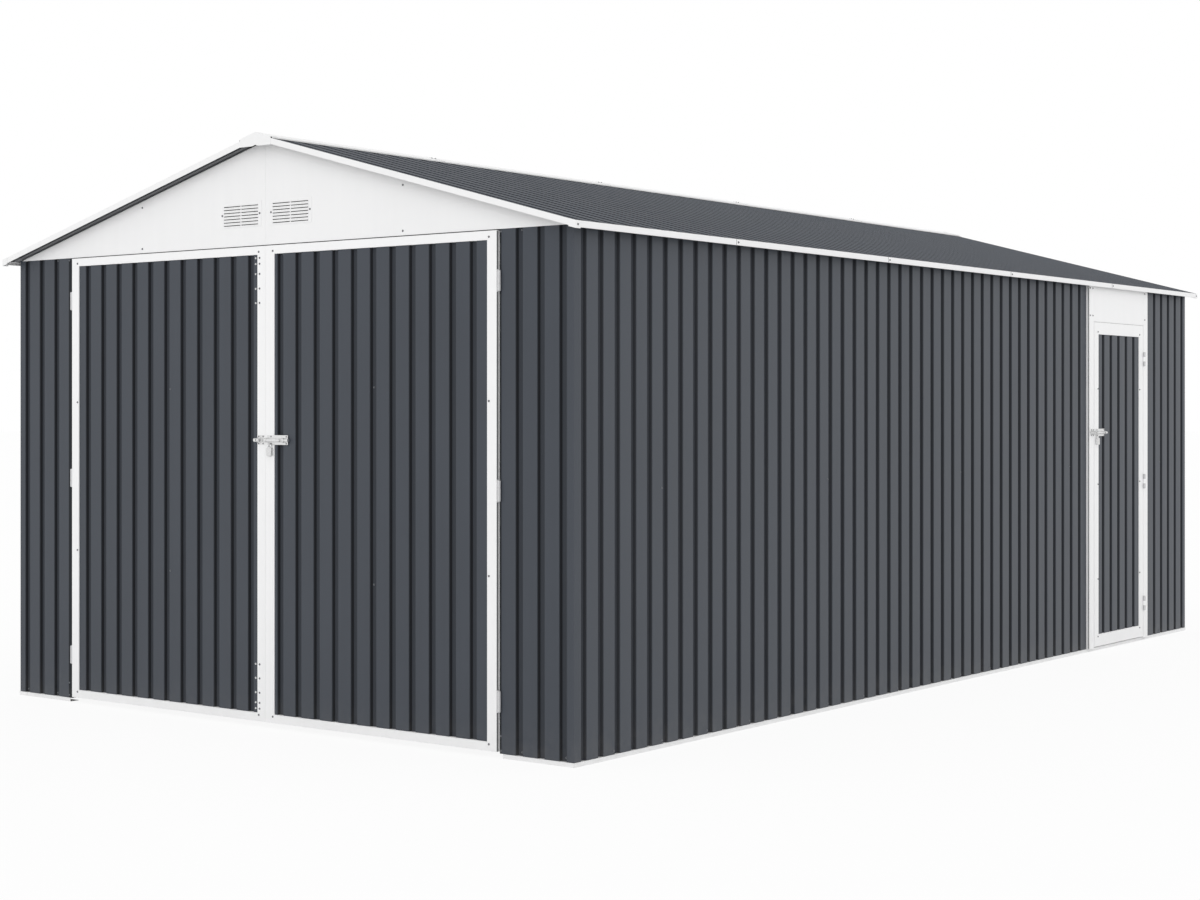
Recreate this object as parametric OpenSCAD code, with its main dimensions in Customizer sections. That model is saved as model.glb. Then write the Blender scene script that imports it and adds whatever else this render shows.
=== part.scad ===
// Steel sheet garage with a gable roof, double front doors and a side door.
// Millimetres. X runs across the garage, Y from the front to the rear, Z up.
// The origin is on the ground, at the centre of the footprint.

/* [Garage] */
// Width over the side walls
garage_w = 3317; // [3000:1:4400]
// Length over the end walls
garage_l = 6099; // [5000:1:9000]
// Height of the top edge of the wall sheets
wall_h = 2054; // [1960:1:2600]
// Slope of the roof in degrees
roof_pitch = 15; // [10:0.5:22]

/* [Ribbed sheet] */
// Distance from one groove to the next
rib_pitch = 107; // [90:1:150]
// Width of a groove at the face of the sheet
groove_mouth = 38; // [30:1:44]
// Width of a groove at its floor
groove_floor = 24; // [14:1:26]
// Depth of a groove
groove_depth = 13; // [8:0.5:16]
// Thickness of the sheet steel
sheet_t = 1; // [0.8:0.1:1.5]
// Width of each leg of the folded corner strips
corner_leg = 32; // [24:1:34]

/* [Frame] */
// Height of the base rail
base_h = 17; // [12:1:40]
// How far the base rail stands proud of the wall
base_proud = 3; // [2:0.5:6]
// How far the front base rails stop short of the doorway
rail_stop = 18; // [0:1:30]
// Depth and width of the channels of the frame
channel_w = 30; // [24:1:40]
// Thickness of the channels and of the base rail
channel_t = 1.5; // [1:0.1:2.5]
// Number of roof bays along the garage
bays = 5; // [4:1:7]
// Height of the middle rail of the walls
mid_rail_z = 1030; // [700:1:1300]

/* [Roof] */
// How far the roof reaches past the side walls
eave_overhang = 53; // [45:1:120]
// How far the roof reaches past the end walls
gable_overhang = 59; // [50:1:120]
// Height of the roof's underside above the wall sheets, at the side wall
roof_seat = 4.5; // [2:0.5:20]
// Thickness of the white trims
trim_t = 1.2; // [1:0.1:2]
// Height of the eave trim
eave_trim_h = 25; // [18:1:40]
// Height of the trim on the sloping edges
rake_trim_h = 25; // [20:1:60]
// Width of the lips that hold the trims under the roof sheets
trim_lip = 18; // [10:1:30]
// Width of each wing of the ridge cap
ridge_wing = 100; // [60:1:140]
// How far the ridge cap stands off the roof sheets
ridge_rise = 5; // [2:0.5:12]
// Length of the pieces that the ridge cap and the eave trims are made of
trim_piece_l = 1281; // [900:1:2000]
// Half width of the peak caps
peak_cap_w = 92; // [60:1:140]
// Height of the face of the peak caps
peak_cap_h = 52; // [44:1:90]
// Length of the sides of the corner caps
corner_cap_l = 32; // [28:1:80]
// Height of the corner caps
corner_cap_h = 30; // [28:1:60]

/* [Gables] */
// How far the gable sheets lap over the wall sheets
gable_lap = 3; // [1:0.5:8]
// How far the top edge of the gables lies below the top of the rafters
gable_drop = 10; // [0:0.5:14]
// Width of a vent
vent_w = 250; // [160:1:280]
// Height of a vent
vent_h = 110; // [80:1:130]
// Distance from the middle of the gable to the middle of a vent
vent_x = 150; // [145:1:260]
// Height of the vents' centre above the wall sheets
vent_rise = 134; // [110:1:180]
// Number of louvres in one column of a vent
louvres = 7; // [4:1:8]
// Width of the rib between the two columns of louvres
vent_rib = 6; // [4:0.5:20]
// Height of the plain edge above and below the louvres
vent_edge = 7.5; // [5:0.5:12]
// Height of the open slot below each hood
louvre_gap = 3; // [1:0.5:4]
// How far the hoods of the louvres stand out
louvre_out = 4; // [2:0.5:6]

/* [Front doors] */
// How far the meeting line of the leaves lies to the right of the middle
door_shift = 13; // [0:1:20]
// Width of one front leaf
front_leaf_w = 1273.5; // [900:0.5:1340]
// Height of the underside of all doors above the base rail
door_lift = 7; // [5:1:40]
// How far the front leaves stand proud of the wall
front_proud = 13; // [10:1:16]
// Width of the stiles of the front leaves
front_stile = 48; // [36:1:70]
// Height of the rails of the front leaves
front_rail = 36; // [30:1:70]
// How far the grooves of the left leaf lie off its middle, towards the other leaf
left_groove_shift = 8.5; // [0:0.5:24]
// How far the grooves of the right leaf lie off its middle, towards the other leaf
right_groove_shift = 21.5; // [0:0.5:24]

/* [Side door] */
// Distance from the rear wall to the middle of the side door
side_door_back = 1040; // [700:1:2400]
// Width of the side leaf
side_leaf_w = 690; // [600:1:900]
// Height of the top of the side leaf
side_leaf_top = 1839; // [1700:1:1880]
// How far the side door and its jambs stand proud of the wall
side_proud = 18; // [10:1:22]
// Width of the stiles of the side leaf
side_stile = 58; // [45:1:90]
// Height of the rails of the side leaf
side_rail = 67; // [45:1:100]
// Width of the jambs
jamb_w = 63; // [50:1:90]
// How far the grooves ahead of the side door lie towards the rear
side_groove_shift = 8; // [0:0.5:14]

/* [Door fittings] */
// Depth of the door leaves
leaf_depth = 22; // [20:0.5:24]
// How far the panel lies behind the face of its leaf
panel_inset = 4; // [2:0.5:5]
// Length of a hinge
hinge_l = 80; // [60:1:120]
// Distance from the ends of a leaf to the middle of its outer hinges
hinge_inset = 195; // [120:1:300]
// Radius of the hinge pins
pin_r = 3; // [2:0.5:4]
// Height of the latches
latch_z = 1221; // [1000:1:1400]
// Length of the latch plate
latch_l = 118; // [110:1:160]
// Height of the latch plate
latch_h = 43; // [34:1:60]
// Diameter of the bolts
bolt_d = 14; // [10:0.5:16]
// Width of a padlock
padlock_w = 42; // [36:1:50]
// Height of the body of a padlock
padlock_h = 38; // [30:1:50]

/* [Clearances] */
// Gap between a moving piece and what it passes
move_gap = 5; // [5:0.5:8]
// Gap at which a piece is seated on what carries it
seat_gap = 0.3; // [0.2:0.1:0.5]
// Gap round a bolt in its guides
bolt_gap = 0.5; // [0.3:0.1:1]
// Gap round a bolt in its keeper
keeper_gap = 1; // [0.8:0.1:2]
// Gap round a hinge pin
pin_gap = 0.25; // [0.2:0.05:0.5]

/* [Hidden] */
$fn = 48;

dark = [0.31, 0.33, 0.35];
white = [0.94, 0.94, 0.94];
steel = [0.75, 0.76, 0.77];
past = 1;

half_w = garage_w / 2;
half_l = garage_l / 2;
wall_depth = groove_depth + sheet_t;
wall_t = wall_depth + channel_w;
flank_angle = atan(groove_depth / ((groove_mouth - groove_floor) / 2));
bend = sheet_t * tan(flank_angle / 2);

slope = tan(roof_pitch);
eave_x = half_w + eave_overhang - trim_t;
roof_end = half_l + gable_overhang;
roof_edge_z = wall_h + roof_seat + wall_depth / cos(roof_pitch) - (eave_x - half_w) * slope;
function roof_top(x) = roof_edge_z + (eave_x - abs(x)) * slope;
function roof_under(x) = roof_top(x) - wall_depth / cos(roof_pitch);
function rafter_top(x) = roof_under(x) - seat_gap;
function rafter_low(x) = rafter_top(x) - channel_w / cos(roof_pitch);
beam_top = rafter_low(half_w - wall_t) - seat_gap;
beam_low = beam_top - channel_w;
ridge_beam_top = rafter_top(channel_w / 2);
bay_l = (garage_l - 2 * wall_depth - channel_w) / bays;
frame_places = [for (i = [0 : bays]) -half_l + wall_depth + channel_w / 2 + i * bay_l];

gable_bottom = wall_h - gable_lap;
door_bottom = base_h + door_lift;
front_top = gable_bottom - move_gap;
front_edge = move_gap / 2 + front_leaf_w;
hinge_gap = move_gap + 1;
front_opening = front_edge + hinge_gap;
front_post_w = 40;
side_door_y = half_l - side_door_back;
side_bay = side_leaf_w / 2 + move_gap + jamb_w;
header_bottom = side_leaf_top + move_gap;

barrel_r = pin_r + 4;
plate_t = 1.5;
front_axis = [front_edge + barrel_r + 1, -front_proud + 5];
side_axis = [side_leaf_w / 2 + move_gap / 2, -side_proud - barrel_r - bolt_gap];
function hinges_on(low, high) = [low + hinge_inset, (low + high) / 2, high - hinge_inset];
hinge_places = hinges_on(door_bottom, front_top);
side_hinge_places = hinges_on(door_bottom, side_leaf_top);

module on_front() translate([0, -half_l, 0]) children();
module on_doorway() on_front() translate([door_shift, 0, 0]) children();
module on_rear() translate([0, half_l, 0]) rotate([0, 0, 180]) children();
module on_right() translate([half_w, 0, 0]) rotate([0, 0, 90]) children();
module on_left() translate([-half_w, 0, 0]) rotate([0, 0, -90]) children();
module on_side_door() on_right() translate([side_door_y, 0, 0]) children();
module both_sides() {
    children();
    mirror([1, 0, 0]) children();
}
module both_ends() {
    children();
    mirror([0, 1, 0]) children();
}

// ---- ribbed sheet, its face on the XZ plane and its grooves towards +Y ----

function reversed(list) = [for (i = [len(list) - 1 : -1 : 0]) list[i]];
function groove_places(face_l, from, to) =
    let (count = floor(face_l / rib_pitch), first = -(count - 1) * rib_pitch / 2)
    [for (i = [0 : count - 1])
        let (x = first + i * rib_pitch, reach = groove_mouth / 2 + bend)
        if (x - reach > from && x + reach < to) x];
function sheet_line(places, grow, y) = [for (x = places) each [
    [x - groove_mouth / 2 - grow, y],
    [x - groove_floor / 2 - grow, y + groove_depth],
    [x + groove_floor / 2 + grow, y + groove_depth],
    [x + groove_mouth / 2 + grow, y]]];

module ribbed_sheet(places, from, to, height) {
    face = sheet_line(places, 0, 0);
    back = sheet_line(places, bend, sheet_t);
    linear_extrude(height)
        polygon(concat([[from, 0]], face, [[to, 0], [to, sheet_t]], reversed(back), [[from, sheet_t]]));
}

// Part of a wall face_l long, between from and to, measured from the middle of the wall
module wall_sheet(face_l, from, to, clear_from = 0, clear_to = 0, shift = 0) {
    unmoved = groove_places(face_l, from + clear_from - shift, to - clear_to - shift);
    color(dark) translate([0, 0, base_h + seat_gap])
        ribbed_sheet([for (x = unmoved) x + shift], from, to, wall_h - base_h - seat_gap);
}

// ---- frame ----

// Channel along X with its web towards -Y
module channel_bar(length, depth = channel_w, height = channel_w)
    color(steel) translate([-length / 2, 0, 0]) difference() {
        cube([length, depth, height]);
        translate([-past, channel_t, channel_t])
            cube([length + 2 * past, depth, height - 2 * channel_t]);
    }

// Channel along Z with its web towards -Y
module channel_post(height, width = channel_w, depth = channel_w)
    translate([-width / 2, 0, 0]) difference() {
        cube([width, depth, height]);
        translate([channel_t, channel_t, -past])
            cube([width - 2 * channel_t, depth, height + 2 * past]);
    }

// Base rail along X: a channel that opens inwards, mitred at both ends
module base_rail(length) {
    w = base_proud + wall_t;
    l = length / 2 + base_proud - seat_gap;
    color(white) translate([0, -base_proud, 0]) difference() {
        linear_extrude(base_h) polygon([[-l, 0], [l, 0], [l - w, w], [w - l, w]]);
        translate([0, 0, channel_t]) linear_extrude(base_h - 2 * channel_t)
            polygon([[channel_t - past - l, channel_t], [l - channel_t + past, channel_t],
                [l - w, w + past], [w - l, w + past]]);
    }
}

// The front doorway has no rail across it, so that a car can drive in
module end_base_rails() {
    half = front_opening + rail_stop;
    on_front() difference() {
        base_rail(garage_w);
        translate([door_shift - half, -base_proud - past, -past])
            cube([2 * half, base_proud + wall_t + 2 * past, base_h + 2 * past]);
    }
    on_rear() base_rail(garage_w);
}
module side_base_rails() {
    on_left() base_rail(garage_l);
    on_right() base_rail(garage_l);
}

sheet_end_w = half_w - corner_leg - seat_gap;
sheet_end_l = half_l - corner_leg - seat_gap;
module front_wall_left() on_front()
    wall_sheet(garage_w, -sheet_end_w, door_shift - front_opening, 0, front_post_w);
module front_wall_right() on_front()
    wall_sheet(garage_w, door_shift + front_opening, sheet_end_w, front_post_w, 0);
module rear_wall() on_rear() wall_sheet(garage_w, -sheet_end_w, sheet_end_w);
module left_wall() on_left() wall_sheet(garage_l, -sheet_end_l, sheet_end_l);
side_bay_front = side_door_y - side_bay;
side_bay_rear = side_door_y + side_bay;
module right_wall_front() on_right()
    wall_sheet(garage_l, -sheet_end_l, side_bay_front - seat_gap, 0, channel_w, side_groove_shift);
module right_wall_rear() on_right()
    wall_sheet(garage_l, side_bay_rear + seat_gap, sheet_end_l, channel_w, 0);

// Folded strip that turns the corner at the +X, -Y corner
module corner_strip() translate([half_w, -half_l, base_h + seat_gap])
    linear_extrude(wall_h - base_h - seat_gap)
        polygon([[0, 0], [0, corner_leg], [-sheet_t, corner_leg], [-sheet_t, sheet_t],
            [-corner_leg, sheet_t], [-corner_leg, 0]]);
module corner_strips() color(dark) both_ends() both_sides() corner_strip();

post_h = beam_low - base_h - 2 * seat_gap;
module wall_post() translate([0, wall_depth, base_h + seat_gap]) channel_post(post_h);
module wall_posts() color(steel) {
    for (y = frame_places) on_left() translate([-y, 0, 0]) wall_post();
    for (y = frame_places)
        if (abs(y - side_door_y) > side_bay + channel_w)
            on_right() translate([y, 0, 0]) wall_post();
    for (x = [-garage_w / 6, garage_w / 6]) on_rear() translate([x, 0, 0]) wall_post();
}

// Middle rail from one place to another along a wall
module mid_rail(from, to) translate([(from + to) / 2, wall_depth, mid_rail_z - channel_w / 2])
    channel_bar(to - from - 2 * seat_gap);
post_reach = channel_w / 2;
module mid_rails() {
    for (i = [0 : bays - 1])
        on_left() mid_rail(-frame_places[i + 1] + post_reach, -frame_places[i] - post_reach);
    for (i = [0 : bays - 1]) {
        from = frame_places[i] + post_reach;
        to = frame_places[i + 1] - post_reach;
        if (to < side_bay_front) on_right() mid_rail(from, to);
        else if (from < side_bay_front) on_right() mid_rail(from, side_bay_front);
        if (to > side_bay_rear) on_right() mid_rail(max(from, side_bay_rear), to);
    }
    rear_stops = [-half_w + wall_t, -garage_w / 6, garage_w / 6, half_w - wall_t];
    for (i = [0 : 2])
        on_rear() mid_rail(rear_stops[i] + (i > 0 ? post_reach : 0),
            rear_stops[i + 1] - (i < 2 ? post_reach : 0));
}

module side_top_rails() {
    for (i = [0, 1]) mirror([i, 0, 0])
        on_right() translate([0, wall_depth, beam_low]) channel_bar(garage_l - 2 * wall_depth);
}
module end_top_rails() {
    inner = garage_w - 2 * wall_t - 2 * seat_gap;
    on_front() translate([0, wall_depth, beam_low]) channel_bar(inner);
    on_rear() translate([0, wall_depth, beam_low]) channel_bar(inner);
}

module front_door_posts() color(steel) on_doorway() both_sides()
    translate([front_opening + front_post_w / 2, sheet_t, base_h + seat_gap])
        channel_post(post_h, front_post_w, wall_t - sheet_t);

// ---- side door surround ----

// The jambs and the header end just below the roof sheets
head_top = min(wall_h, roof_under(half_w + side_proud) - seat_gap);
// The head of a jamb is cut back, so that the top rail passes behind it
module side_door_jambs() color(white) on_side_door() both_sides()
    translate([side_bay - jamb_w / 2, -side_proud, base_h + seat_gap]) difference() {
        channel_post(head_top - base_h - seat_gap, jamb_w - 2 * seat_gap, side_proud + wall_t);
        translate([-jamb_w, side_proud + wall_depth - seat_gap, post_h])
            cube([2 * jamb_w, wall_t, wall_h]);
    }
module side_door_header() {
    w = side_leaf_w + 2 * move_gap - 2 * seat_gap;
    h = head_top - header_bottom;
    color(white) on_side_door() translate([-w / 2, -side_proud, header_bottom]) difference() {
        cube([w, side_proud + wall_depth, h]);
        translate([trim_t, trim_t, trim_t])
            cube([w - 2 * trim_t, side_proud + wall_depth, h - 2 * trim_t]);
    }
}

// ---- gables ----

gable_t = 1.5;
gable_tip_h = 2;
function gable_top(x) = rafter_top(x) - gable_drop;
gable_tip = min(half_w, half_w + (gable_top(half_w) - gable_bottom - gable_tip_h) / slope);
vent_z = wall_h + vent_rise;
vent_frame = 19.5;
louvre_l = (vent_w - 2 * vent_frame - vent_rib) / 2;
louvre_step = (vent_h - 2 * vent_edge) / louvres;

module gable_outline() difference() {
    polygon([[seat_gap, gable_bottom], [gable_tip, gable_bottom], [gable_tip, gable_top(gable_tip)],
        [seat_gap, gable_top(seat_gap)]]);
    translate([vent_x - vent_w / 2 + vent_frame / 2, vent_z - vent_h / 2 + vent_edge])
        square([vent_w - vent_frame, vent_h - 2 * vent_edge]);
}
// Half of a gable: the sheet, and its return along the roof that meets the rafter
module gable_half() {
    rotate([90, 0, 0]) linear_extrude(gable_t) gable_outline();
    translate([0, wall_depth - seat_gap, 0]) rotate([90, 0, 0])
        linear_extrude(wall_depth - seat_gap)
            polygon([[seat_gap, gable_top(seat_gap)], [seat_gap, gable_top(seat_gap) - gable_t],
                [half_w - wall_t, gable_top(half_w - wall_t) - gable_t],
                [half_w - wall_t, gable_top(half_w - wall_t)]]);
}
module front_gable() color(white) on_front() both_sides() gable_half();
module rear_gable() color(white) on_rear() both_sides() gable_half();

slot_h = louvre_step / 2;
// Along X from 0, with the hood's lower edge at z = 0: a pressed hood that is open below,
// and the cut of the slot behind it
module louvre_prism(length) rotate([90, 0, 90]) linear_extrude(length) children();
module louvre_hood() translate([-trim_t, 0, 0]) louvre_prism(louvre_l + 2 * trim_t)
    polygon([[-trim_t / 2, 0], [-trim_t - louvre_out, 0], [-trim_t / 2, slot_h + trim_t]]);
module louvre_slot() louvre_prism(louvre_l)
    polygon([[past, -louvre_gap], [past, slot_h], [-trim_t, slot_h], [-louvre_out, -past],
        [-trim_t - seat_gap, -past], [-trim_t - seat_gap, -louvre_gap]]);
module each_louvre() for (side = [0, 1], i = [0 : louvres - 1])
    translate([vent_frame + side * (louvre_l + vent_rib), 0, vent_edge + (i + 1 / 4) * louvre_step])
        children();
module vent() translate([-vent_w / 2, -gable_t - seat_gap, -vent_h / 2]) difference() {
    union() {
        translate([0, -trim_t, 0]) cube([vent_w, trim_t, vent_h]);
        each_louvre() louvre_hood();
    }
    each_louvre() louvre_slot();
}
module gable_vents() color(white) {
    for (x = [-vent_x, vent_x]) {
        on_front() translate([x, 0, vent_z]) vent();
        on_rear() translate([x, 0, vent_z]) vent();
    }
}

// ---- roof ----

// Outline in XZ of a rafter on the +X side, shrunk by inset
module rafter_outline(inset) {
    out_x = half_w - wall_depth - inset;
    heel_x = half_w - wall_t;
    top_x = channel_w / 2 + seat_gap + inset;
    up = inset / cos(roof_pitch);
    polygon([[out_x, rafter_top(out_x) - up], [out_x, rafter_low(heel_x) + inset],
        [heel_x, rafter_low(heel_x) + inset + (inset > 0 ? up - inset : 0)],
        [top_x, rafter_low(top_x) + up], [top_x, rafter_top(top_x) - up]]);
}
module rafter() rotate([90, 0, 0]) difference() {
    linear_extrude(channel_w, center = true) rafter_outline(0);
    translate([0, 0, channel_t]) linear_extrude(channel_w, center = true) rafter_outline(channel_t);
}
module rafters() color(steel) for (y = frame_places) translate([0, y, 0]) both_sides() rafter();
module ridge_beam() translate([channel_w / 2, 0, ridge_beam_top - channel_w]) rotate([0, 0, 90])
    channel_bar(garage_l - 2 * wall_depth);

roof_run = (eave_x - move_gap) / cos(roof_pitch);
module roof_sheet() color(dark) translate([eave_x, 0, roof_edge_z])
    rotate([0, roof_pitch - 90, 0]) rotate([0, 0, 90])
        ribbed_sheet(groove_places(2 * roof_end, -roof_end + trim_lip / 2, roof_end - trim_lip / 2),
            -roof_end, roof_end, roof_run);
module roof_right() roof_sheet();
module roof_left() mirror([1, 0, 0]) roof_sheet();

// A strip in XZ that lies on the roof plane from x1 to x2, its underside up above the plane
module roof_strip(x1, x2, up, thick = trim_t) {
    low = up / cos(roof_pitch);
    high = (up + thick) / cos(roof_pitch);
    polygon([[x1, roof_top(x1) + low], [x2, roof_top(x2) + low],
        [x2, roof_top(x2) + high], [x1, roof_top(x1) + high]]);
}
module along_y(length) rotate([90, 0, 0]) linear_extrude(length, center = true) children();

// The long trims are made of pieces laid from the rear
lap_up = seat_gap;
lip_up = -wall_depth - lap_up - trim_t;
lip_end = roof_end - trim_lip - seat_gap;
trim_joints = [for (y = [roof_end - trim_piece_l : -trim_piece_l : past - lip_end]) y];
module in_trim_pieces(end_y) {
    ends = concat([end_y + seat_gap / 2], trim_joints, [-end_y - seat_gap / 2]);
    for (i = [0 : len(ends) - 2])
        translate([0, (ends[i] + ends[i + 1]) / 2, 0])
            along_y(ends[i] - ends[i + 1] - seat_gap) children();
}

// The ridge cap stands off the sheets on its two turned down edges
ridge_up = lap_up + ridge_rise;
module ridge_wing_outline() {
    high = (ridge_up + trim_t) / cos(roof_pitch);
    roof_strip(0, ridge_wing, ridge_up);
    polygon([[ridge_wing - trim_t, roof_top(ridge_wing - trim_t) + lap_up],
        [ridge_wing, roof_top(ridge_wing) + lap_up], [ridge_wing, roof_top(ridge_wing) + high],
        [ridge_wing - trim_t, roof_top(ridge_wing - trim_t) + high]]);
}
module ridge_cap() color(white) in_trim_pieces(roof_end) both_sides() ridge_wing_outline();

// Trim along the eave: a face, a lip under the sheets and a lip along its foot
module eave_trim() {
    low = roof_edge_z - eave_trim_h;
    out_x = eave_x + trim_t;
    in_trim_pieces(lip_end) {
        roof_strip(eave_x - trim_lip, out_x, lip_up);
        polygon([[eave_x + seat_gap / 2, roof_edge_z], [out_x, roof_edge_z], [out_x, low],
            [eave_x - trim_lip / 2, low], [eave_x - trim_lip / 2, low + trim_t],
            [eave_x + seat_gap / 2, low + trim_t]]);
    }
}
module eave_trims() color(white) both_sides() eave_trim();

// Trim on one sloping edge: a face in front of the roof's end and a lip under the sheets
module rake_trim() translate([0, -roof_end - seat_gap, 0]) {
    out_x = eave_x + trim_t;
    rotate([90, 0, 0]) linear_extrude(trim_t)
        roof_strip(seat_gap, out_x, -rake_trim_h, rake_trim_h);
    translate([0, trim_lip + seat_gap, 0]) rotate([90, 0, 0]) linear_extrude(trim_lip + trim_t)
        roof_strip(seat_gap, out_x, lip_up);
}
module rake_trims() color(white) both_ends() both_sides() rake_trim();

cap_up = ridge_up + trim_t + lap_up;
cap_front = roof_end + trim_t + 2 * seat_gap;
module peak_cap() {
    rotate([90, 0, 0]) linear_extrude(trim_t) intersection() {
        both_sides() roof_strip(0, peak_cap_w, cap_up - peak_cap_h, peak_cap_h + trim_t);
        translate([-peak_cap_w, roof_top(0) - peak_cap_h])
            square([2 * peak_cap_w, 2 * peak_cap_h]);
    }
    translate([0, 2 * trim_lip, 0]) rotate([90, 0, 0]) linear_extrude(2 * trim_lip + trim_t / 2)
        both_sides() roof_strip(0, peak_cap_w, cap_up);
}
module corner_cap() {
    side_x = eave_x + trim_t + seat_gap;
    low = roof_edge_z - corner_cap_h;
    rotate([90, 0, 0]) linear_extrude(trim_t)
        polygon([[side_x + trim_t, low], [side_x + trim_t, roof_top(side_x) + lap_up],
            [side_x - corner_cap_l, roof_top(side_x - corner_cap_l) + lap_up],
            [side_x - corner_cap_l, roof_top(side_x - corner_cap_l) - corner_cap_h]]);
    translate([side_x, -trim_t, low])
        cube([trim_t, corner_cap_l, roof_top(side_x) + lap_up - low]);
}
module roof_end_caps() color(white) both_ends() translate([0, -cap_front, 0]) {
    peak_cap();
    both_sides() corner_cap();
}

// ---- doors: drawn on the wall's face, outwards is -Y ----

brace_h = 40;
// Frame of a leaf: channels with the web outwards, and two braces behind the panel
module leaf_frame(w, low, high, stile, rail, proud) {
    h = high - low;
    t = channel_t;
    back = panel_inset + wall_depth + seat_gap;
    color(white) translate([0, -proud, low]) {
        difference() {
            cube([w, leaf_depth, h]);
            translate([stile, -past, rail]) cube([w - 2 * stile, leaf_depth + 2 * past, h - 2 * rail]);
            difference() {
                translate([t, t, t]) cube([w - 2 * t, leaf_depth, h - 2 * t]);
                translate([stile - t, 0, rail - t])
                    cube([w - 2 * (stile - t), leaf_depth, h - 2 * (rail - t)]);
            }
        }
        for (share = [1 / 3, 2 / 3])
            translate([stile - t / 2, back, share * h - brace_h / 2])
                cube([w - 2 * stile + t, leaf_depth - back, brace_h]);
    }
}
// Ribbed panel inside the frame of a leaf, its grooves centred on middle
module leaf_panel(w, low, high, stile, rail, proud, middle) {
    from = stile + seat_gap;
    to = w - stile - seat_gap;
    reach = min(middle - from, to - middle) - groove_mouth / 2 - bend;
    count = floor(2 * reach / rib_pitch) + 1;
    places = [for (i = [0 : count - 1]) middle + (i - (count - 1) / 2) * rib_pitch];
    color(dark) translate([0, panel_inset - proud, low + rail + seat_gap])
        ribbed_sheet(places, from, to, high - low - 2 * rail - 2 * seat_gap);
}

knuckle_l = hinge_l / 3;
// Plate of a hinge between the leaf's edge and the post, and a knuckle with its web
module hinge_plate(x, from, to) translate([x, from, 0]) cube([plate_t, to - from, hinge_l]);
module knuckle(axis, plate_x, plate_y, place) translate([0, 0, place * knuckle_l + seat_gap]) {
    translate(axis) cylinder(r = barrel_r, h = knuckle_l - 2 * seat_gap);
    translate([plate_x, axis[1], 0]) cube([plate_t, plate_y - axis[1] + past, knuckle_l - 2 * seat_gap]);
}
function plate_start(axis, proud) = max(-proud, axis[1] + barrel_r) + bolt_gap;
// The fixed half carries the pin
module fixed_hinge(axis, edge, gap, proud) translate([0, 0, -hinge_l / 2]) {
    x = edge + gap - plate_t;
    start = plate_start(axis, proud);
    hinge_plate(x, start, leaf_depth - proud);
    for (place = [0, 2]) knuckle(axis, x, start, place);
    translate([axis[0], axis[1], seat_gap]) cylinder(r = pin_r, h = hinge_l - 2 * seat_gap);
}
module moving_hinge(axis, edge, proud) translate([0, 0, -hinge_l / 2]) {
    start = plate_start(axis, proud);
    hinge_plate(edge, start, leaf_depth - proud);
    difference() {
        knuckle(axis, edge, start, 1);
        translate([axis[0], axis[1], 0]) cylinder(r = pin_r + pin_gap, h = hinge_l);
    }
}

module fixed_hinges() color(steel) {
    on_doorway() both_sides() for (z = hinge_places) translate([0, 0, z]) {
        fixed_hinge(front_axis, front_edge, hinge_gap, front_proud);
    }
    on_side_door() for (z = side_hinge_places) translate([0, 0, z])
        fixed_hinge(side_axis, side_leaf_w / 2, move_gap, side_proud);
}

// ---- latch: the meeting edge at x = 0, the leaf that carries the bolt on +X ----

latch_x = 8;
latch_t = 2;
guide_l = 8;
guide_r = bolt_d / 2 + 2;
bolt_y = latch_t + guide_r;
bolt_rest = 3;
bolt_l = latch_l + 25;
keeper_l = 46;
keeper_wall = 2.5;
knob_x = latch_l - 16;
eye_x = 31;
eye_z = -latch_h / 2 + 5;
eye_r = 4;
eye_y = 1 - bolt_y;
shackle_r = 3;

// Loop that holds the bolt: a round barrel with a foot on the plate
module guide(x, bore) translate([x, 0, 0]) difference() {
    union() {
        translate([0, -bolt_y, 0]) rotate([0, 90, 0]) cylinder(r = guide_r, h = guide_l);
        translate([0, -bolt_y, -guide_r]) cube([guide_l, bolt_y, 2 * guide_r]);
    }
    translate([-past, -bolt_y, 0]) rotate([0, 90, 0]) cylinder(r = bore, h = guide_l + 2 * past);
}
module plate(x, length) translate([x, -latch_t, -latch_h / 2]) cube([length, latch_t, latch_h]);
bolt_bore = bolt_d / 2 + bolt_gap;
module latch() {
    plate(latch_x, latch_l);
    guide(latch_x + 2, bolt_bore);
    guide(latch_x + latch_l - guide_l - 2, bolt_bore);
    translate([eye_x - latch_t / 2, 0, eye_z]) difference() {
        translate([0, eye_y - eye_r - latch_t, -eye_r - latch_t])
            cube([latch_t, eye_r + latch_t - eye_y, 2 * (eye_r + latch_t)]);
        translate([-past, eye_y, 0]) rotate([0, 90, 0]) cylinder(r = eye_r, h = latch_t + 2 * past);
    }
}
// The keeper is a square staple that the bolt slides into
module keeper() {
    half = bolt_d / 2 + keeper_gap;
    outer = half + keeper_wall;
    plate(-latch_x - keeper_l, keeper_l);
    translate([-latch_x - keeper_l / 2 - guide_l / 2, 0, 0]) difference() {
        translate([0, -bolt_y - outer, -outer]) cube([guide_l, bolt_y + outer, 2 * outer]);
        translate([-past, -bolt_y - half, -half])
            cube([guide_l + 2 * past, bolt_y + half - latch_t, 2 * half]);
    }
}
module bolt() {
    translate([bolt_rest, -bolt_y, 0]) rotate([0, 90, 0]) cylinder(d = bolt_d, h = bolt_l);
    translate([bolt_rest + knob_x, -bolt_y, 0]) rotate([90, 0, 0]) cylinder(d = 9, h = guide_r + 10);
}
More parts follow.
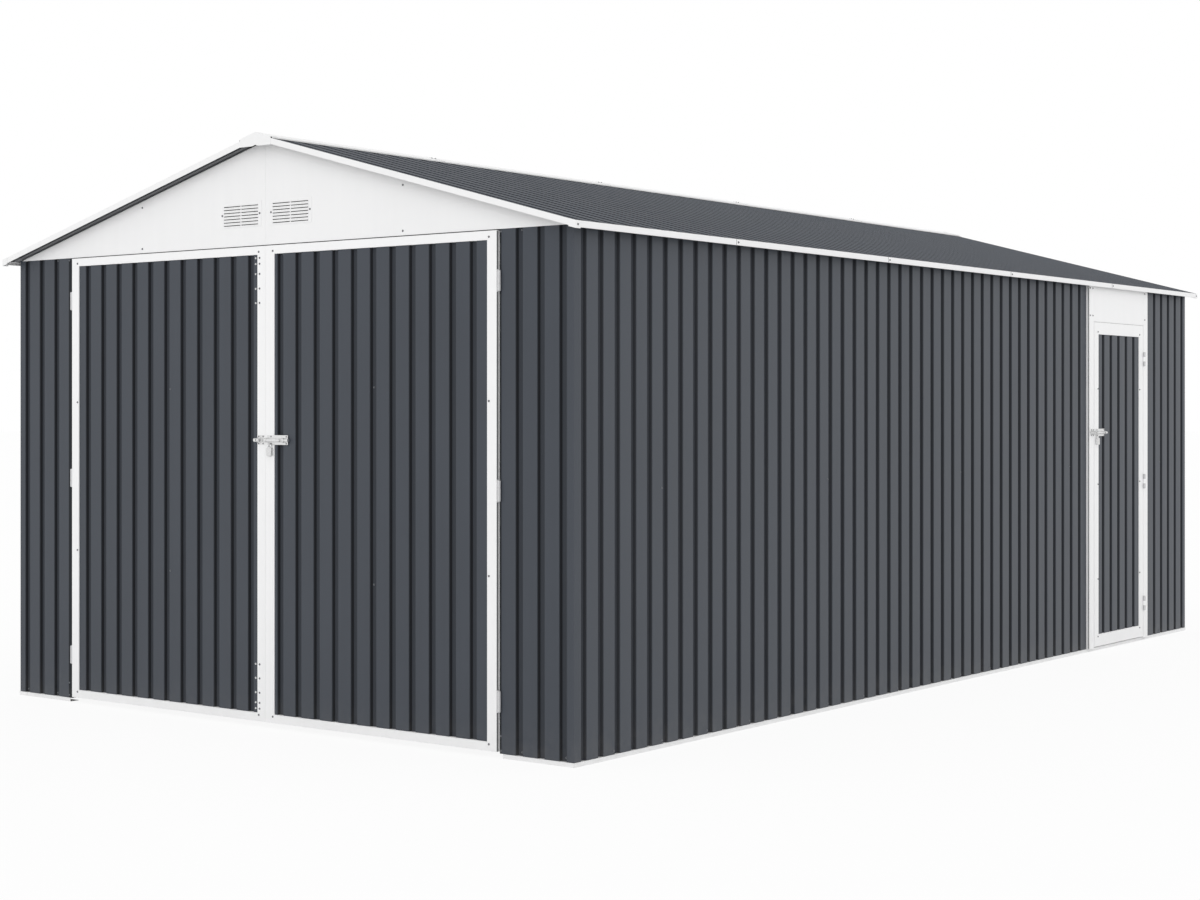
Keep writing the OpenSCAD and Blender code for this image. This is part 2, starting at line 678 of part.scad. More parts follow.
// Padlock that hangs by its bow from the eye of the latch plate
module padlock() {
    bow = padlock_w / 4;
    leg = 4;
    body_t = 16;
    translate([eye_x, eye_y, eye_z - eye_r + shackle_r + seat_gap]) translate([0, 0, -bow]) {
        rotate([90, 0, 0]) rotate_extrude(angle = 180) translate([bow, 0]) circle(shackle_r);
        for (x = [-bow, bow]) translate([x, 0, -leg]) cylinder(r = shackle_r, h = leg);
        translate([-padlock_w / 2, -body_t / 2, -leg - padlock_h]) cube([padlock_w, body_t, padlock_h]);
    }
}

// Latch fittings at their height on a leaf whose face is proud of the wall
module at_latch(edge, proud) translate([edge, -proud, latch_z]) children();
side_edge = -side_leaf_w / 2 - move_gap / 2;
module at_front_latch() on_doorway() at_latch(0, front_proud) children();
module at_side_latch() on_side_door() at_latch(side_edge, side_proud) children();

// Pieces of one front leaf, drawn on the right of the meeting line
module front_leaf_at() translate([move_gap / 2, 0, 0]) children();
module front_leaf_frame() front_leaf_at()
    leaf_frame(front_leaf_w, door_bottom, front_top, front_stile, front_rail, front_proud);
module front_leaf_panel(shift) front_leaf_at()
    leaf_panel(front_leaf_w, door_bottom, front_top, front_stile, front_rail, front_proud,
        front_leaf_w / 2 - shift);
module front_leaf_hinges() color(steel) for (z = hinge_places)
    translate([0, 0, z]) moving_hinge(front_axis, front_edge, front_proud);
module on_left_leaf() on_doorway() mirror([1, 0, 0]) children();
module right_door_frame() on_doorway() front_leaf_frame();
module right_door_panel() on_doorway() front_leaf_panel(right_groove_shift);
module right_door_hinges() on_doorway() front_leaf_hinges();
module left_door_frame() on_left_leaf() front_leaf_frame();
module left_door_panel() on_left_leaf() front_leaf_panel(left_groove_shift);
module left_door_hinges() on_left_leaf() front_leaf_hinges();
module front_latch() color(steel) at_front_latch() latch();
module front_keeper() color(steel) at_front_latch() keeper();
module front_bolt() color(steel) at_front_latch() bolt();
module front_padlock() color(steel) at_front_latch() padlock();

module side_leaf_at() on_side_door() translate([-side_leaf_w / 2, 0, 0]) children();
module side_door_frame() side_leaf_at()
    leaf_frame(side_leaf_w, door_bottom, side_leaf_top, side_stile, side_rail, side_proud);
module side_door_panel() side_leaf_at()
    leaf_panel(side_leaf_w, door_bottom, side_leaf_top, side_stile, side_rail, side_proud,
        side_leaf_w / 2);
module side_door_hinges() color(steel) on_side_door() for (z = side_hinge_places)
    translate([0, 0, z]) moving_hinge(side_axis, side_leaf_w / 2, side_proud);
module side_latch() color(steel) at_side_latch() latch();
module side_keeper() color(steel) at_side_latch() keeper();
module side_bolt() color(steel) at_side_latch() bolt();
module side_padlock() color(steel) at_side_latch() padlock();

end_base_rails();
side_base_rails();
front_wall_left();
front_wall_right();
rear_wall();
left_wall();
right_wall_front();
right_wall_rear();
corner_strips();
wall_posts();
mid_rails();
side_top_rails();
end_top_rails();
front_door_posts();
side_door_jambs();
side_door_header();
front_gable();
rear_gable();
gable_vents();
ridge_beam();
rafters();
roof_left();
roof_right();
ridge_cap();
eave_trims();
rake_trims();
roof_end_caps();
fixed_hinges();
side_keeper();
left_door_frame();
left_door_panel();
left_door_hinges();
front_keeper();
right_door_frame();
right_door_panel();
right_door_hinges();
front_latch();
front_padlock();
front_bolt();
side_door_frame();
side_door_panel();
side_door_hinges();
side_latch();
side_padlock();
side_bolt();
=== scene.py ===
import math

import bmesh
import bpy
from mathutils import Matrix, Vector
from mathutils.bvhtree import BVHTree


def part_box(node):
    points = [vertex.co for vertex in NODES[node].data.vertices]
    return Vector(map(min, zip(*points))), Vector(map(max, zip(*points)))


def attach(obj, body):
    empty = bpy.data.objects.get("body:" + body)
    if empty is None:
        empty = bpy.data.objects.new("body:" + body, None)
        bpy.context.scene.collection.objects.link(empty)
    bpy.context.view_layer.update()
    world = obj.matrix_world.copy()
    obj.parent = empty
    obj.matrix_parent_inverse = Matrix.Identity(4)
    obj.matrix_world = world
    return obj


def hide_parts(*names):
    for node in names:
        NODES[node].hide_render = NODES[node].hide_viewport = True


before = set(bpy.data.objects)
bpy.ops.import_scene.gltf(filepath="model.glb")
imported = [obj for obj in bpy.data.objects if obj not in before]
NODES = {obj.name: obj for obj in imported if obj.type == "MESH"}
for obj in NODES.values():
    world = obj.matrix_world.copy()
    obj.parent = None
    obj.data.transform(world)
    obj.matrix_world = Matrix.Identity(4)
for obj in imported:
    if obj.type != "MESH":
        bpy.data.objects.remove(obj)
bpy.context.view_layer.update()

SCENE = bpy.context.scene

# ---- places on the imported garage, in metres ----

FRONT_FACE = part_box("front_wall_right")[0].y
REAR_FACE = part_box("rear_wall")[1].y
RIGHT_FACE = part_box("right_wall_front")[1].x
LEFT_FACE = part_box("left_wall")[0].x
GABLE_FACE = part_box("front_gable")[0].y
VENT_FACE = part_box("front_gable")[0].y - 0.0015
LEAF_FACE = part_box("right_door_frame")[0].y
LEAF_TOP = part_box("right_door_frame")[1].z
LEAF_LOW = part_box("right_door_frame")[0].z
PANEL_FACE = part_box("right_door_panel")[0].y
SIDE_LEAF_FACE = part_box("side_door_frame")[1].x
SIDE_PANEL_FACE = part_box("side_door_panel")[1].x
SIDE_DOOR_Y = sum(c.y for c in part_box("side_door_frame")) / 2
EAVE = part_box("roof_right")[1].x
ROOF_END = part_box("roof_right")[1].y
WALL_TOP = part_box("left_wall")[1].z
WALL_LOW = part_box("left_wall")[0].z
DOOR_X = (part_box("left_door_frame")[1].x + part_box("right_door_frame")[0].x) / 2

ROOF_SLOPE = math.radians(15)
RIB_PITCH = 0.107
TRIM_PIECE = 1.281
# Depths at which the painted shade of a groove starts and is full
GROOVE_RIM = 0.0008
GROOVE_FULL = 0.0045

GARAGE_AXES = Matrix.Identity(4)
OUT_FRONT = Vector((0, -1, 0))
OUT_REAR = Vector((0, 1, 0))
OUT_RIGHT = Vector((1, 0, 0))
OUT_LEFT = Vector((-1, 0, 0))
UP_RIGHT_SLOPE = Vector((math.sin(ROOF_SLOPE), 0, math.cos(ROOF_SLOPE)))
UP_LEFT_SLOPE = Vector((-math.sin(ROOF_SLOPE), 0, math.cos(ROOF_SLOPE)))

# Height at the eave of the slope on which the roof's fittings are placed. It runs 0.97 mm under
# the tops of the sheets: their highest corner is a top one, and their innermost a bottom one
ROOF_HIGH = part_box("roof_right")[1].z
ROOF_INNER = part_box("roof_right")[0].x
EAVE_Z = ROOF_HIGH - (EAVE - ROOF_INNER) * math.tan(ROOF_SLOPE)


def roof_top(x):
    """Height of the fittings' slope at a distance from the ridge line."""
    return EAVE_Z + (EAVE - abs(x)) * math.tan(ROOF_SLOPE)


# Height of the ridge cap's top above the fittings' slope, square to it
RIDGE_UP = (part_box("ridge_cap")[1].z - roof_top(0)) * math.cos(ROOF_SLOPE)


# ---- shader trees ----


class Tree:
    """Short calls for the nodes of one material or group."""

    def __init__(self, tree):
        self.tree = tree

    def node(self, kind, inputs=None, **settings):
        made = self.tree.nodes.new("ShaderNode" + kind)
        for name, value in settings.items():
            setattr(made, name, value)
        for name, value in (inputs or {}).items():
            self.feed(made.inputs[name], value)
        return made

    def feed(self, socket, value):
        if isinstance(value, bpy.types.NodeSocket):
            self.tree.links.new(value, socket)
        else:
            socket.default_value = value

    def math(self, operation, a, b=0.0, clamp=False):
        return self.node("Math", {0: a, 1: b}, operation=operation, use_clamp=clamp).outputs[0]

    def dot(self, a, b):
        return self.node("VectorMath", {0: a, 1: b}, operation="DOT_PRODUCT").outputs["Value"]

    def stretch(self, position, scale):
        return self.node("VectorMath", {0: position, 1: scale}, operation="MULTIPLY").outputs[0]

    def noise(self, position, scale, detail=2.0, roughness=0.5):
        made = self.node("TexNoise", {
            "Vector": position, "Scale": scale, "Detail": detail, "Roughness": roughness})
        return made.outputs["Fac"]

    def ramp(self, value, low, high, to_low=0.0, to_high=1.0):
        made = self.node("MapRange", {
            "Value": value, "From Min": low, "From Max": high,
            "To Min": to_low, "To Max": to_high})
        return made.outputs["Result"]

    def mix(self, share, a, b):
        made = self.node("MixRGB", {"Fac": share, "Color1": a, "Color2": b})
        return made.outputs["Color"]

    def shade(self, colour, value):
        if isinstance(colour, tuple):
            colour = colour[:3]
        return self.node("VectorMath", {0: colour, "Scale": value}, operation="SCALE").outputs[0]


def new_group(name, inputs, outputs):
    """A shader node group: inputs are (name, socket kind, default), outputs (name, kind)."""
    group = bpy.data.node_groups.new(name, "ShaderNodeTree")
    for title, kind, value in inputs:
        group.interface.new_socket(title, in_out="INPUT", socket_type=kind).default_value = value
    for title, kind in outputs:
        group.interface.new_socket(title, in_out="OUTPUT", socket_type=kind)
    into = group.nodes.new("NodeGroupInput")
    out = group.nodes.new("NodeGroupOutput")
    return group, Tree(group), into.outputs, out.inputs


VECTOR = "NodeSocketVector"
FLOAT = "NodeSocketFloat"


def paint_film_group():
    """Baked coating: orange peel, slow tone changes of the coil, faint runs down the sheet."""
    group, t, given, made = new_group("paint_film", [
        ("Position", VECTOR, (0, 0, 0)), ("Peel", FLOAT, 420.0),
        ("Clouds", FLOAT, 0.06), ("Runs", FLOAT, 0.05)],
        [("Tone", FLOAT), ("Gloss", FLOAT), ("Height", FLOAT)])
    at = given["Position"]
    clouds = t.ramp(t.noise(at, 1.6, 4.0, 0.6), 0.3, 0.7, -0.5, 0.5)
    runs = t.ramp(t.noise(t.stretch(at, (26.0, 26.0, 0.7)), 1.0, 3.0), 0.3, 0.7, -0.5, 0.5)
    tone = t.math("ADD", t.math("MULTIPLY", clouds, given["Clouds"]),
                  t.math("MULTIPLY", runs, given["Runs"]))
    t.feed(made["Tone"], t.math("ADD", tone, 1.0))
    t.feed(made["Gloss"], t.math("ADD", t.math("MULTIPLY", clouds, 0.5), runs))
    t.feed(made["Height"], t.noise(at, given["Peel"], 2.0))
    return group


def painted_groove_shade_group():
    """Masks of a sheet: its pressed grooves, which take painted shade, the floors only by a share,
    and its back.
    """
    group, t, given, made = new_group("painted_groove_shade", [
        ("Position", VECTOR, (0, 0, 0)), ("Normal", VECTOR, (0, 0, 1)),
        ("Outward", VECTOR, (0, 0, 1)), ("Face", FLOAT, 0.0),
        ("Rim", FLOAT, GROOVE_RIM), ("Full", FLOAT, GROOVE_FULL), ("Floor", FLOAT, 0.2),
        ("Backed", FLOAT, 1.0)],
        [("Mask", FLOAT), ("Back", FLOAT)])
    depth = t.math("SUBTRACT", given["Face"], t.dot(given["Position"], given["Outward"]))
    span = t.math("SUBTRACT", given["Full"], given["Rim"])
    share = t.math("DIVIDE", t.math("SUBTRACT", depth, given["Rim"]), span, clamp=True)
    facing_out = t.dot(given["Normal"], given["Outward"])
    outer = t.math("GREATER_THAN", facing_out, 0.05)
    level = t.ramp(facing_out, 0.6, 0.9, 1.0, 0.0)
    amount = t.math("MAXIMUM", level, given["Floor"])
    t.feed(made["Mask"], t.math("MULTIPLY", t.math("MULTIPLY", share, outer), amount))
    back = t.math("LESS_THAN", facing_out, -0.05)
    t.feed(made["Back"], t.math("MULTIPLY", back, given["Backed"]))
    return group


def foot_dust_group():
    """Dust and splash near the ground, broken up so that its edge never runs straight."""
    group, t, given, made = new_group("foot_dust", [
        ("Position", VECTOR, (0, 0, 0)), ("Reach", FLOAT, 0.22)], [("Mask", FLOAT)])
    height = t.node("SeparateXYZ", {0: given["Position"]}).outputs["Z"]
    fade = t.math("SUBTRACT", 1.0, t.math("DIVIDE", height, given["Reach"]), clamp=True)
    fade = t.math("POWER", fade, 2.0)
    patches = t.ramp(t.noise(given["Position"], 17.0, 5.0, 0.65), 0.35, 0.68)
    t.feed(made["Mask"], t.math("MULTIPLY", fade, patches, clamp=True))
    return group


def zinc_bloom_group():
    """Crystals of a zinc coat: each flake has its own tone and gloss."""
    group, t, given, made = new_group("zinc_bloom", [
        ("Position", VECTOR, (0, 0, 0)), ("Flakes", FLOAT, 120.0), ("Contrast", FLOAT, 0.25)],
        [("Tone", FLOAT), ("Gloss", FLOAT), ("Height", FLOAT)])
    wave = t.noise(given["Position"], 60.0, 2.0)
    at = t.node("VectorMath", {0: given["Position"], 1: t.shade(wave, 0.004)}).outputs[0]
    cells = t.node("TexVoronoi", {"Vector": at, "Scale": given["Flakes"]})
    flake = t.node("SeparateColor", {0: cells.outputs["Color"]}).outputs["Red"]
    centred = t.math("SUBTRACT", flake, 0.5)
    tone = t.math("ADD", t.math("MULTIPLY", centred, given["Contrast"]), 1.0)
    cloud = t.ramp(t.noise(given["Position"], 5.0, 3.0), 0.3, 0.7, -0.06, 0.06)
    t.feed(made["Tone"], t.math("ADD", tone, cloud))
    t.feed(made["Gloss"], centred)
    t.feed(made["Height"], t.math("ADD", flake, t.noise(given["Position"], 900.0)))
    return group


def fine_scratch_group():
    """Hairline scratches of handled metal, along two directions."""
    group, t, given, made = new_group("fine_scratches", [
        ("Position", VECTOR, (0, 0, 0)), ("Fineness", FLOAT, 1.0)],
        [("Mask", FLOAT), ("Height", FLOAT)])
    along = t.noise(t.stretch(given["Position"], (60.0, 60.0, 2600.0)), given["Fineness"], 3.0)
    across = t.noise(t.stretch(given["Position"], (2400.0, 2400.0, 90.0)), given["Fineness"], 3.0)
    both = t.math("MULTIPLY", t.math("ADD", along, across), 0.5)
    t.feed(made["Mask"], t.ramp(both, 0.42, 0.62))
    t.feed(made["Height"], both)
    return group


PAINT_FILM = paint_film_group()
PAINTED_GROOVE_SHADE = painted_groove_shade_group()
FOOT_DUST = foot_dust_group()
ZINC_BLOOM = zinc_bloom_group()
FINE_SCRATCHES = fine_scratch_group()

DUST_COLOUR = (0.36, 0.33, 0.29, 1)
DUST_SHARE = 0.10
ANTHRACITE = (0.0585, 0.0665, 0.081, 1)
ROOF_GREY = (0.070, 0.079, 0.096, 1)
# Colours of the painted shade in the grooves of the front and rear, the side and the roof sheets
GROOVE_SHADE = (0.010, 0.0112, 0.0142, 1)
SIDE_SHADE = (0.019, 0.021, 0.026, 1)
ROOF_SHADE = (0.004, 0.0045, 0.006, 1)
BACKING_GREY = (0.22, 0.225, 0.235, 1)
PAINT_WHITE = (0.90, 0.90, 0.903, 1)
# Whiter copy of the same white paint for the door pieces: painted light that makes up for the shade
# they get near the ground
DOOR_WHITE_PAINTED_LIGHT = (0.93, 0.93, 0.933, 1)
ZINC_GREY = (0.66, 0.67, 0.68, 1)


class Finish(Tree):
    """A material whose Principled BSDF is set with plain numbers and fed by groups."""

    def __init__(self, name, **plain):
        self.material = bpy.data.materials.new(name)
        self.material.use_nodes = True
        super().__init__(self.material.node_tree)
        self.surface = self.tree.nodes["Principled BSDF"]
        for socket, value in plain.items():
            self.surface.inputs[socket.replace("_", " ")].default_value = value
        place = self.node("TexCoord")
        self.position = place.outputs["Object"]
        self.normal = place.outputs["Normal"]

    def group(self, group, **inputs):
        made = self.node("Group", node_tree=group)
        self.feed(made.inputs["Position"], self.position)
        for name, value in inputs.items():
            self.feed(made.inputs[name], value)
        return made.outputs

    def bump(self, height, strength, distance):
        made = self.node("Bump", {"Height": height, "Strength": strength, "Distance": distance})
        self.feed(self.surface.inputs["Normal"], made.outputs["Normal"])

    def set(self, socket, value):
        self.feed(self.surface.inputs[socket], value)


def sheet_finish(name, outward, face, base_rough=0.42, level=0.25, colour=ANTHRACITE,
                 shade=GROOVE_SHADE, **groove):
    """Anthracite coated sheet, its grooves darkened below the face by painted shade, with a grey
    backing coat.
    """
    f = Finish(name, Specular_IOR_Level=level)
    film = f.group(PAINT_FILM)
    painted_groove_shade = f.group(PAINTED_GROOVE_SHADE, Normal=f.normal, Outward=outward, Face=face, **groove)
    # Painted shade: below the face the grooves turn to the darker shade colour
    groove_shade_share = painted_groove_shade["Mask"]
    dust = f.group(FOOT_DUST)["Mask"]
    paint = f.mix(painted_groove_shade["Back"], f.mix(groove_shade_share, colour, shade), BACKING_GREY)
    paint = f.shade(paint, film["Tone"])
    f.set("Base Color", f.mix(f.math("MULTIPLY", dust, DUST_SHARE), paint, DUST_COLOUR))
    gloss = f.math("ADD", f.math("MULTIPLY", film["Gloss"], 0.06), base_rough)
    f.set("Roughness", f.math("ADD", gloss, f.math("MULTIPLY", groove_shade_share, 0.35), clamp=True))
    f.bump(film["Height"], 0.10, 0.0003)
    return f.material


def white_finish(name, rough=0.38, colour=PAINT_WHITE):
    """White coated trim steel."""
    f = Finish(name, Specular_IOR_Level=0.4)
    film = f.group(PAINT_FILM, Peel=520.0, Clouds=0.016, Runs=0.012)
    dust = f.group(FOOT_DUST, Reach=0.12)["Mask"]
    paint = f.shade(colour, film["Tone"])
    f.set("Base Color", f.mix(f.math("MULTIPLY", dust, DUST_SHARE), paint, DUST_COLOUR))
    f.set("Roughness", f.math("ADD", f.math("MULTIPLY", film["Gloss"], 0.05), rough))
    f.bump(film["Height"], 0.08, 0.0003)
    return f.material


def galvanised_finish(name, colour=ZINC_GREY, flakes=95.0, contrast=0.22, rough=0.42):
    """Hot dipped zinc, with its flakes."""
    f = Finish(name, Metallic=0.85)
    bloom = f.group(ZINC_BLOOM, Flakes=flakes, Contrast=contrast)
    f.set("Base Color", f.shade(colour, bloom["Tone"]))
    f.set("Roughness", f.math("ADD", f.math("MULTIPLY", bloom["Gloss"], 0.16), rough))
    f.bump(bloom["Height"], 0.06, 0.0002)
    return f.material


def fitting_finish(name, colour, metallic=0.9, rough=0.30, wear=0.10):
    """Plated or polished metal of the fittings, with hairline scratches."""
    f = Finish(name, Metallic=metallic)
    bloom = f.group(ZINC_BLOOM, Flakes=310.0, Contrast=0.10)
    scratch = f.group(FINE_SCRATCHES)
    f.set("Base Color", f.shade(colour, bloom["Tone"]))
    f.set("Roughness", f.math("ADD", f.math("MULTIPLY", scratch["Mask"], wear), rough))
    f.bump(scratch["Height"], 0.10, 0.0002)
    return f.material


# A face so far behind every piece that nothing reads as a groove below it
NO_FACE = -9.0
# Painted groove shade of each sheet: the side walls have their own lighter shade colour and more of
# it on the groove floors, as light falls on them differently
FRONT_LOOK = dict(Floor=0.45)
SIDE_LOOK = dict(level=0.30, shade=SIDE_SHADE, Floor=0.62)
FRONT_SHEET = sheet_finish("front_sheet", OUT_FRONT, -FRONT_FACE, **FRONT_LOOK)
REAR_SHEET = sheet_finish("rear_sheet", OUT_REAR, REAR_FACE, **FRONT_LOOK)
RIGHT_SHEET = sheet_finish("right_sheet", OUT_RIGHT, RIGHT_FACE, **SIDE_LOOK)
LEFT_SHEET = sheet_finish("left_sheet", OUT_LEFT, -LEFT_FACE, **SIDE_LOOK)
FRONT_PANEL = sheet_finish("front_panel", OUT_FRONT, -PANEL_FACE, **FRONT_LOOK)
SIDE_PANEL = sheet_finish("side_panel", OUT_RIGHT, SIDE_PANEL_FACE, **SIDE_LOOK)
SLOPE_PLANE = Vector((EAVE, 0, EAVE_Z)).dot(UP_RIGHT_SLOPE)
ROOF_LOOK = dict(base_rough=0.62, level=0.12, colour=ROOF_GREY, shade=ROOF_SHADE,
                 Rim=0.0, Full=0.0008, Floor=0.5)
RIGHT_ROOF = sheet_finish("right_roof", UP_RIGHT_SLOPE, SLOPE_PLANE, **ROOF_LOOK)
LEFT_ROOF = sheet_finish("left_roof", UP_LEFT_SLOPE, SLOPE_PLANE, **ROOF_LOOK)


def plain_finish(name, base_rough, level, colour):
    """The same coating on a piece that has no grooves and no backing."""
    return sheet_finish(name, OUT_FRONT, NO_FACE, base_rough, level, colour, Backed=0.0)


FOLDED_STRIP = plain_finish("folded_strip", 0.42, 0.25, ANTHRACITE)
WHITE_TRIM = white_finish("white_trim")
# Door pieces take the whiter copy of the trim paint, as painted light
DOOR_TRIM_PAINTED_LIGHT = white_finish("door_trim_painted_light", colour=DOOR_WHITE_PAINTED_LIGHT)
GALVANISED = galvanised_finish("galvanised_frame")
ZINC = fitting_finish("bright_zinc", (0.75, 0.75, 0.75, 1))
DULL_ZINC = fitting_finish("dull_zinc", (0.20, 0.20, 0.21, 1), 0.6, 0.45)
POLISHED = fitting_finish("polished_shackle", (0.78, 0.78, 0.79, 1), 1.0, 0.16, 0.06)
LOCK_BODY = fitting_finish("brushed_lock_body", (0.72, 0.72, 0.72, 1), 0.35, 0.38, 0.14)
# Black of the jamb's plugs and seals; on the seals it also stands as painted shade
BLACK_SEAL_AND_SHADE = plain_finish("black_seal_and_shade", 0.7, 0.2, (0.03, 0.03, 0.032, 1))
# Grey of the seals at the trim joints and on the leaves' hinged edges, where it also stands as
# painted shade
GREY_SEAL_AND_SHADE = plain_finish("grey_seal_and_shade", 0.6, 0.2, (0.19, 0.195, 0.20, 1))
# Near-black painted shade beside the doorway, and the colour of the foam under the ridge cap and
# sloping trims
SHADE_AND_FOAM_DARK = plain_finish("shade_and_foam_dark", 0.6, 0.15, (0.016, 0.018, 0.022, 1))
PAINTED_HEAD = plain_finish("painted_heads", 0.35, 0.4, (0.14, 0.148, 0.16, 1))
PALE_PLATE = fitting_finish("pale_plate", (0.60, 0.60, 0.61, 1), 0.25, 0.45)

NODE_FINISHES = {
    "front_wall_left": FRONT_SHEET, "front_wall_right": FRONT_SHEET, "rear_wall": REAR_SHEET,
    "left_wall": LEFT_SHEET, "right_wall_front": RIGHT_SHEET, "right_wall_rear": RIGHT_SHEET,
    "left_door_panel": FRONT_PANEL, "right_door_panel": FRONT_PANEL,
    "side_door_panel": SIDE_PANEL, "corner_strips": FOLDED_STRIP,
    "roof_left": LEFT_ROOF, "roof_right": RIGHT_ROOF}
WHITE_NODES = (
    "end_base_rails", "side_base_rails", "front_gable", "rear_gable", "gable_vents", "ridge_cap",
    "eave_trims", "rake_trims", "roof_end_caps")
DOOR_NODES = (
    "side_door_jambs", "side_door_header", "left_door_frame", "right_door_frame",
    "side_door_frame", "side_door_hinges")
FRAME_NODES = (
    "wall_posts", "mid_rails", "side_top_rails", "end_top_rails", "front_door_posts",
    "ridge_beam", "rafters")
HINGE_NODES = ("fixed_hinges", "left_door_hinges", "right_door_hinges")


def dress_nodes():
    """Gives the nodes that are shown as packed their finishes."""
    finishes = dict(NODE_FINISHES)
    finishes.update({name: WHITE_TRIM for name in WHITE_NODES})
    finishes.update({name: DOOR_TRIM_PAINTED_LIGHT for name in DOOR_NODES})
    finishes.update({name: GALVANISED for name in FRAME_NODES})
    finishes.update({name: PALE_PLATE for name in HINGE_NODES})
    for name, finish in finishes.items():
        for slot in NODES[name].material_slots:
            slot.material = finish


# ---- pieces ----


def make_piece(name, bm, body, finish, replaced=()):
    """Closes a bmesh into a named piece that rides on a body."""
    bmesh.ops.recalc_face_normals(bm, faces=bm.faces)
    mesh = bpy.data.meshes.new(name)
    bm.to_mesh(mesh)
    bm.free()
    mesh.materials.append(finish)
    piece = bpy.data.objects.new(name, mesh)
    SCENE.collection.objects.link(piece)
    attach(piece, body)
    if replaced:
        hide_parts(*replaced)
    return piece


def facing(place, outward):
    """Matrix with its Z along outward, at a place."""
    return Matrix.Translation(place) @ outward.to_track_quat("Z", "Y").to_matrix().to_4x4()


def plain_box(bm, low, high):
    """Sharp box between two corners."""
    low, high = Vector(low), Vector(high)
    grow = Matrix.Diagonal((high - low).to_4d())
    grow[3][3] = 1
    at = Matrix.Translation((low + high) / 2) @ grow
    return bmesh.ops.create_cube(bm, size=1, matrix=at)["verts"]


def edges_of(verts):
    """Edges at these vertices, each once."""
    return list({e for v in verts for e in v.link_edges})


def eased(bm, verts, chosen, offset, steps):
    """Bevels the chosen edges at these vertices and returns the vertices that are there then."""
    edges = [e for e in edges_of(verts) if chosen(e)]
    made = bmesh.ops.bevel(bm, geom=edges, offset=offset, offset_type="OFFSET", segments=steps,
                           affect="EDGES", profile=0.5, material=-1, clamp_overlap=True)
    return list({v for f in made["faces"] for v in f.verts} | {v for v in verts if v.is_valid})


def block(bm, low, high, place, bevel=0.0, steps=2):
    """Box between two corners in the place's own axes, its edges eased by bevel."""
    verts = plain_box(bm, low, high)
    if bevel:
        verts = eased(bm, verts, lambda e: True, bevel, steps)
    bmesh.ops.transform(bm, matrix=place, verts=verts)


def across_y(edge):
    return abs(edge.verts[0].co.y - edge.verts[1].co.y) > 1e-5


def rounded_plate(bm, low, high, place, corner, edge):
    """Plate in XZ with round corners and eased edges; its thickness runs along Y."""
    verts = eased(bm, plain_box(bm, low, high), across_y, corner, 5)
    verts = eased(bm, verts, lambda e: all(abs(v.co.y - low[1]) < 1e-6 for v in e.verts), edge, 2)
    bmesh.ops.transform(bm, matrix=place, verts=verts)


def disc(bm, place, low_r, high_r, depth, sides, start=0.0):
    """Closed frustum along the place's Z, from start upwards."""
    at = place @ Matrix.Translation((0, 0, start + depth / 2))
    return bmesh.ops.create_cone(bm, cap_ends=True, cap_tris=False, segments=sides,
                                 radius1=low_r, radius2=high_r, depth=depth, matrix=at)["verts"]


def hex_screw(bm, place, outward):
    """Self drilling screw: washer face and hexagon head."""
    at = facing(place, outward)
    disc(bm, at, 0.0048, 0.0043, 0.0011, 12, -0.0002)
    disc(bm, at, 0.0031, 0.0028, 0.0026, 6, 0.0007)


def button_screw(bm, place, outward, radius=0.0036):
    """Low round head with a socket."""
    at = facing(place, outward)
    verts = disc(bm, at, radius, radius * 0.62, 0.0019, 12, -0.0001)
    top = max({f for v in verts for f in v.link_faces},
              key=lambda f: (f.calc_center_median() - Vector(place)).dot(outward))
    bmesh.ops.inset_region(bm, faces=[top], thickness=radius * 0.22, depth=-0.0011)


def screws(name, body, finish, places):
    """One piece of hexagon headed screws at these places."""
    bm = bmesh.new()
    for place, outward in places:
        hex_screw(bm, Vector(place), outward)
    return make_piece(name, bm, body, finish)


# ---- screws of the walls, gables and doors ----


def sheet_tree(node):
    """The faces of a sheet, for casting rays onto it."""
    bm = bmesh.new()
    bm.from_mesh(NODES[node].data)
    tree = BVHTree.FromBMesh(bm)
    bm.free()
    return tree


# Seating of a screw: the step sideways and the most steps, how far to each side the sheet has to
# be flat, how flat, and how far outside the sheet the rays start
SEAT_STEP = 0.003
SEAT_STEPS = 16
WASHER_REACH = 0.005
FLAT_WITHIN = 0.0002
RAY_START = 0.03


def seated(tree, place, outward):
    """Nearest spot along a ribbed sheet where a screw head lies flat, on a rib or in a groove."""
    along = outward.cross(Vector((0, 0, 1)))
    for step in sorted(range(-SEAT_STEPS, SEAT_STEPS + 1), key=abs):
        spot = Vector(place) + along * (SEAT_STEP * step) + outward * RAY_START
        hits = [tree.ray_cast(spot + along * reach, -outward, 2 * RAY_START)[0]
                for reach in (-WASHER_REACH, 0, WASHER_REACH)]
        if None in hits:
            continue
        depths = [hit.dot(outward) for hit in hits]
        if max(depths) - min(depths) < FLAT_WITHIN:
            return hits[1]
    return Vector(place)


# Share of a rib added before ribs are counted: the frame's lengths fall a hair short of whole ribs
RIB_SLACK = 0.01


def flat_places(length, every):
    """Middles of the flats of a wall, measured from its middle, one in so many."""
    count = math.floor(length / RIB_PITCH + RIB_SLACK)
    first = -(count - 2) * RIB_PITCH / 2
    return [first + i * RIB_PITCH for i in range(0, count - 1, every)]


ROW_LOW = WALL_LOW + 0.014
ROW_MID = 1.038
ROW_HIGH = WALL_TOP - 0.012
# Screws of the front stubs: distance from the middle, and height
STUB_SCREWS = ((1.297, 0.086), (1.297, 0.029), (1.399, 0.030), (1.615, 0.031),
               (1.297, 2.041), (1.399, 2.043))
# How far behind flat_places the side walls' screws are aimed, before seated() moves them
FLAT_SHIFT = 0.036


